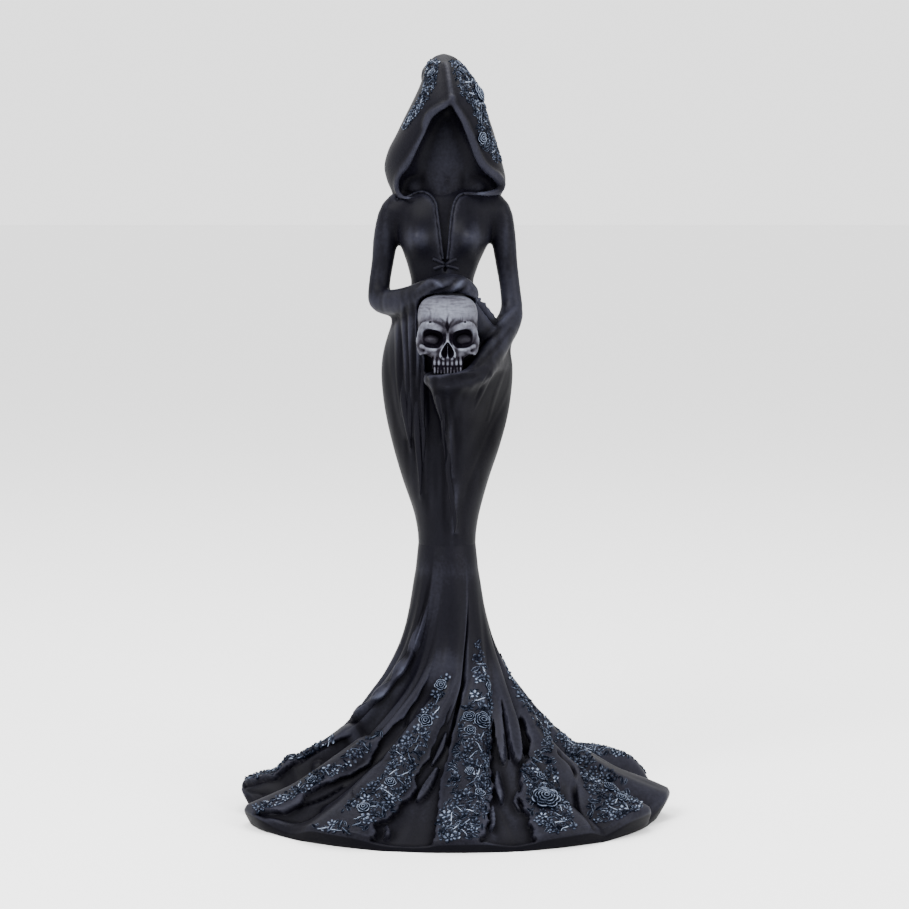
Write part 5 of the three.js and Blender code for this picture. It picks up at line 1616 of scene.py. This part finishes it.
def skull():
    clay = Clay((-16.8, -41, 175.5), (11.8, -10, 209.5), 0.29)
    for centre, radii, power in (CRANIUM, FACE_BLOCK, MIDFACE, MAXILLA, JAW, NOSE):
        clay.add(block_form((SKULL_X, *centre[1:]), radii, power), 1.4)
    for stations in mirrored(CHEEKBONE):
        clay.add(tube_form(stations), 1.2)
    for form in both_blocks(*TEMPLE) + both_blocks(*VOID):
        clay.cut(form, 0.8)
    for stations in mirrored(BROW):
        clay.add(tube_form(stations), 1.7)
    for stations in mirrored(SOCKET_LOW):
        clay.add(tube_form(stations), 0.7)
    clay.add(tube_form(mirrored(NASAL)[0]), 0.9)
    sockets = both_blocks(*SOCKET)
    for form in sockets:
        clay.cut(form, 0.5)
    lids = both_blocks(*LID)
    for form in lids:
        clay.add(form, 1.0)
    for k in range(-3, 4):
        x = k * TOOTH_ROWS[0][2]
        top = 185.2 if abs(k) > 1 else 183.4
        root = [(SKULL_X + x, -35.8 + 0.05 * x * x, 182.6, 0.5, 0.6), (SKULL_X + x * 0.92, -35.4, top, 0.3, 0.5)]
        clay.add(tube_form(root, ACROSS, 1), 0.4)
    for stations in mirrored(NOSE_RIM):
        clay.add(tube_form(stations, DEPTHWISE), 0.4)
    nose = [tube_form(stations, ACROSS) for stations in mirrored(NOSE_HOLE)]
    for form in nose:
        clay.cut(form, 0.3)
    for form in both_blocks(*PIT):
        clay.cut(form, 0.2)
    for z, tall, spacing, wide in TOOTH_ROWS:
        count = int(TEETH_HALF / spacing)
        for k in range(-count, count + 1):
            x = k * spacing
            y = -35.8 + 0.05 * x * x
            clay.add(block_form((SKULL_X + x, y, z), (wide, 1.0, tall), 3.0), 0.1)
    points, faces = clay.net()
    points = smoothed(points, faces, 3)
    lines = [[(SKULL_X + x, z, half, rise) for x, z, half, rise in line] for line in CRACKS]
    points = pressed(points, faces, lines, lambda x, z: np.full_like(x, -30.0))
    crest = np.clip(crest_of(points, faces, 12) / 0.3, -1, 1)
    # Dark wash with painted shade in the sockets and the nose hole; the lids inside the sockets are kept lighter.
    crest -= 1.1 * hollows(points, sockets, 0.35) - 0.42 * hollows(points, lids, 0.5)
    crest -= 2.2 * hollows(points, nose, 0.12)
    in_front = points[:, 1] < -32
    # Dark wash with painted shade between the teeth.
    crest -= 1.7 * tooth_lines(points[:, 0] - SKULL_X, points[:, 2]) * in_front
    off, z = np.abs(points[:, 0] - SKULL_X), points[:, 2]
    crest -= 0.2 * smoothstep(brush_strokes(points), -0.2, 1.0) * smoothstep(z, 195.5, 197.5)
    # Painted shade beside the nasal bridge, in a band along the brows and below the outer cheeks.
    crest -= 0.8 * in_front * smoothstep(off, 0.3, 0.8) * smoothstep(off, 3.0, 1.6) * np.exp(-((z - 192) / 2.6) ** 2)
    crest -= 0.45 * np.exp(-((z - 195.8) / 1.5) ** 2) + 0.5 * smoothstep(off, 4.5, 7.5) * smoothstep(z, 191, 188)
    # Darker towards the bottom, from below the nose down.
    crest -= 0.04 + 0.6 * smoothstep(z, 187.0, 183.5)
    # Wash, and painted light and shade, in patches.
    for across, level, wide, tall, tone in BONE_WASHES_AND_SHADE:
        crest += tone * in_front * np.exp(-((off - across) / wide) ** 2 - ((z - level) / tall) ** 2)
    make_piece("skull_cast", points, faces, BONE, "bone_resin", crest)


# The stage.


def stage():
    bpy.ops.mesh.primitive_plane_add(size=60)
    floor = bpy.context.object
    floor.name = "floor"
    material, tree, shader = new_material("pale floor", 0.8)
    shader.inputs["Base Color"].default_value = (0.9, 0.9, 0.9, 1)
    floor.data.materials.append(material)
    floor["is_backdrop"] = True
    world = bpy.data.worlds.new("soft studio")
    world.use_nodes = True
    world.node_tree.nodes["Background"].inputs["Color"].default_value = (1, 1, 1, 1)
    world.node_tree.nodes["Background"].inputs["Strength"].default_value = 2.2
    bpy.context.scene.world = world

    def light(name, place, aim, size, power):
        data = bpy.data.lights.new(name, "AREA")
        data.shape = "RECTANGLE"
        data.size, data.size_y = size
        data.energy = power
        lamp = bpy.data.objects.new(name, data)
        bpy.context.collection.objects.link(lamp)
        from mathutils import Vector
        way = Vector(aim) - Vector(place)
        lamp.location = place
        lamp.rotation_euler = way.to_track_quat("-Z", "Y").to_euler()

    light("key", (-0.5, -0.7, 0.9), (0, 0, 0.15), (0.5, 0.5), 24)
    light("fill", (0.8, -0.6, 0.5), (0, 0, 0.15), (0.6, 0.6), 12)
    light("top", (0.0, 0.3, 1.1), (0, 0, 0.15), (0.6, 0.6), 10)


def camera():
    data = bpy.data.cameras.new("camera")
    data.sensor_width = 36
    data.lens = 36 * 2405 / 909
    eye = bpy.data.objects.new("camera", data)
    bpy.context.collection.objects.link(eye)
    eye.location = (0, -0.946, 0.241)
    eye.rotation_euler = (math.radians(84.1), 0, 0)
    bpy.context.scene.camera = eye


camera()
stage()
skirt_base, skirt_carved = skirt_grid()
skirt(skirt_carved)
skirt_flowers(skirt_base, skirt_carved)
bodice()
hood()
skull()

visual_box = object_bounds()
plain = lambda box: [[float(v) for v in corner] for corner in box]
{"cad": plain(cad_box), "visual": plain(visual_box)}
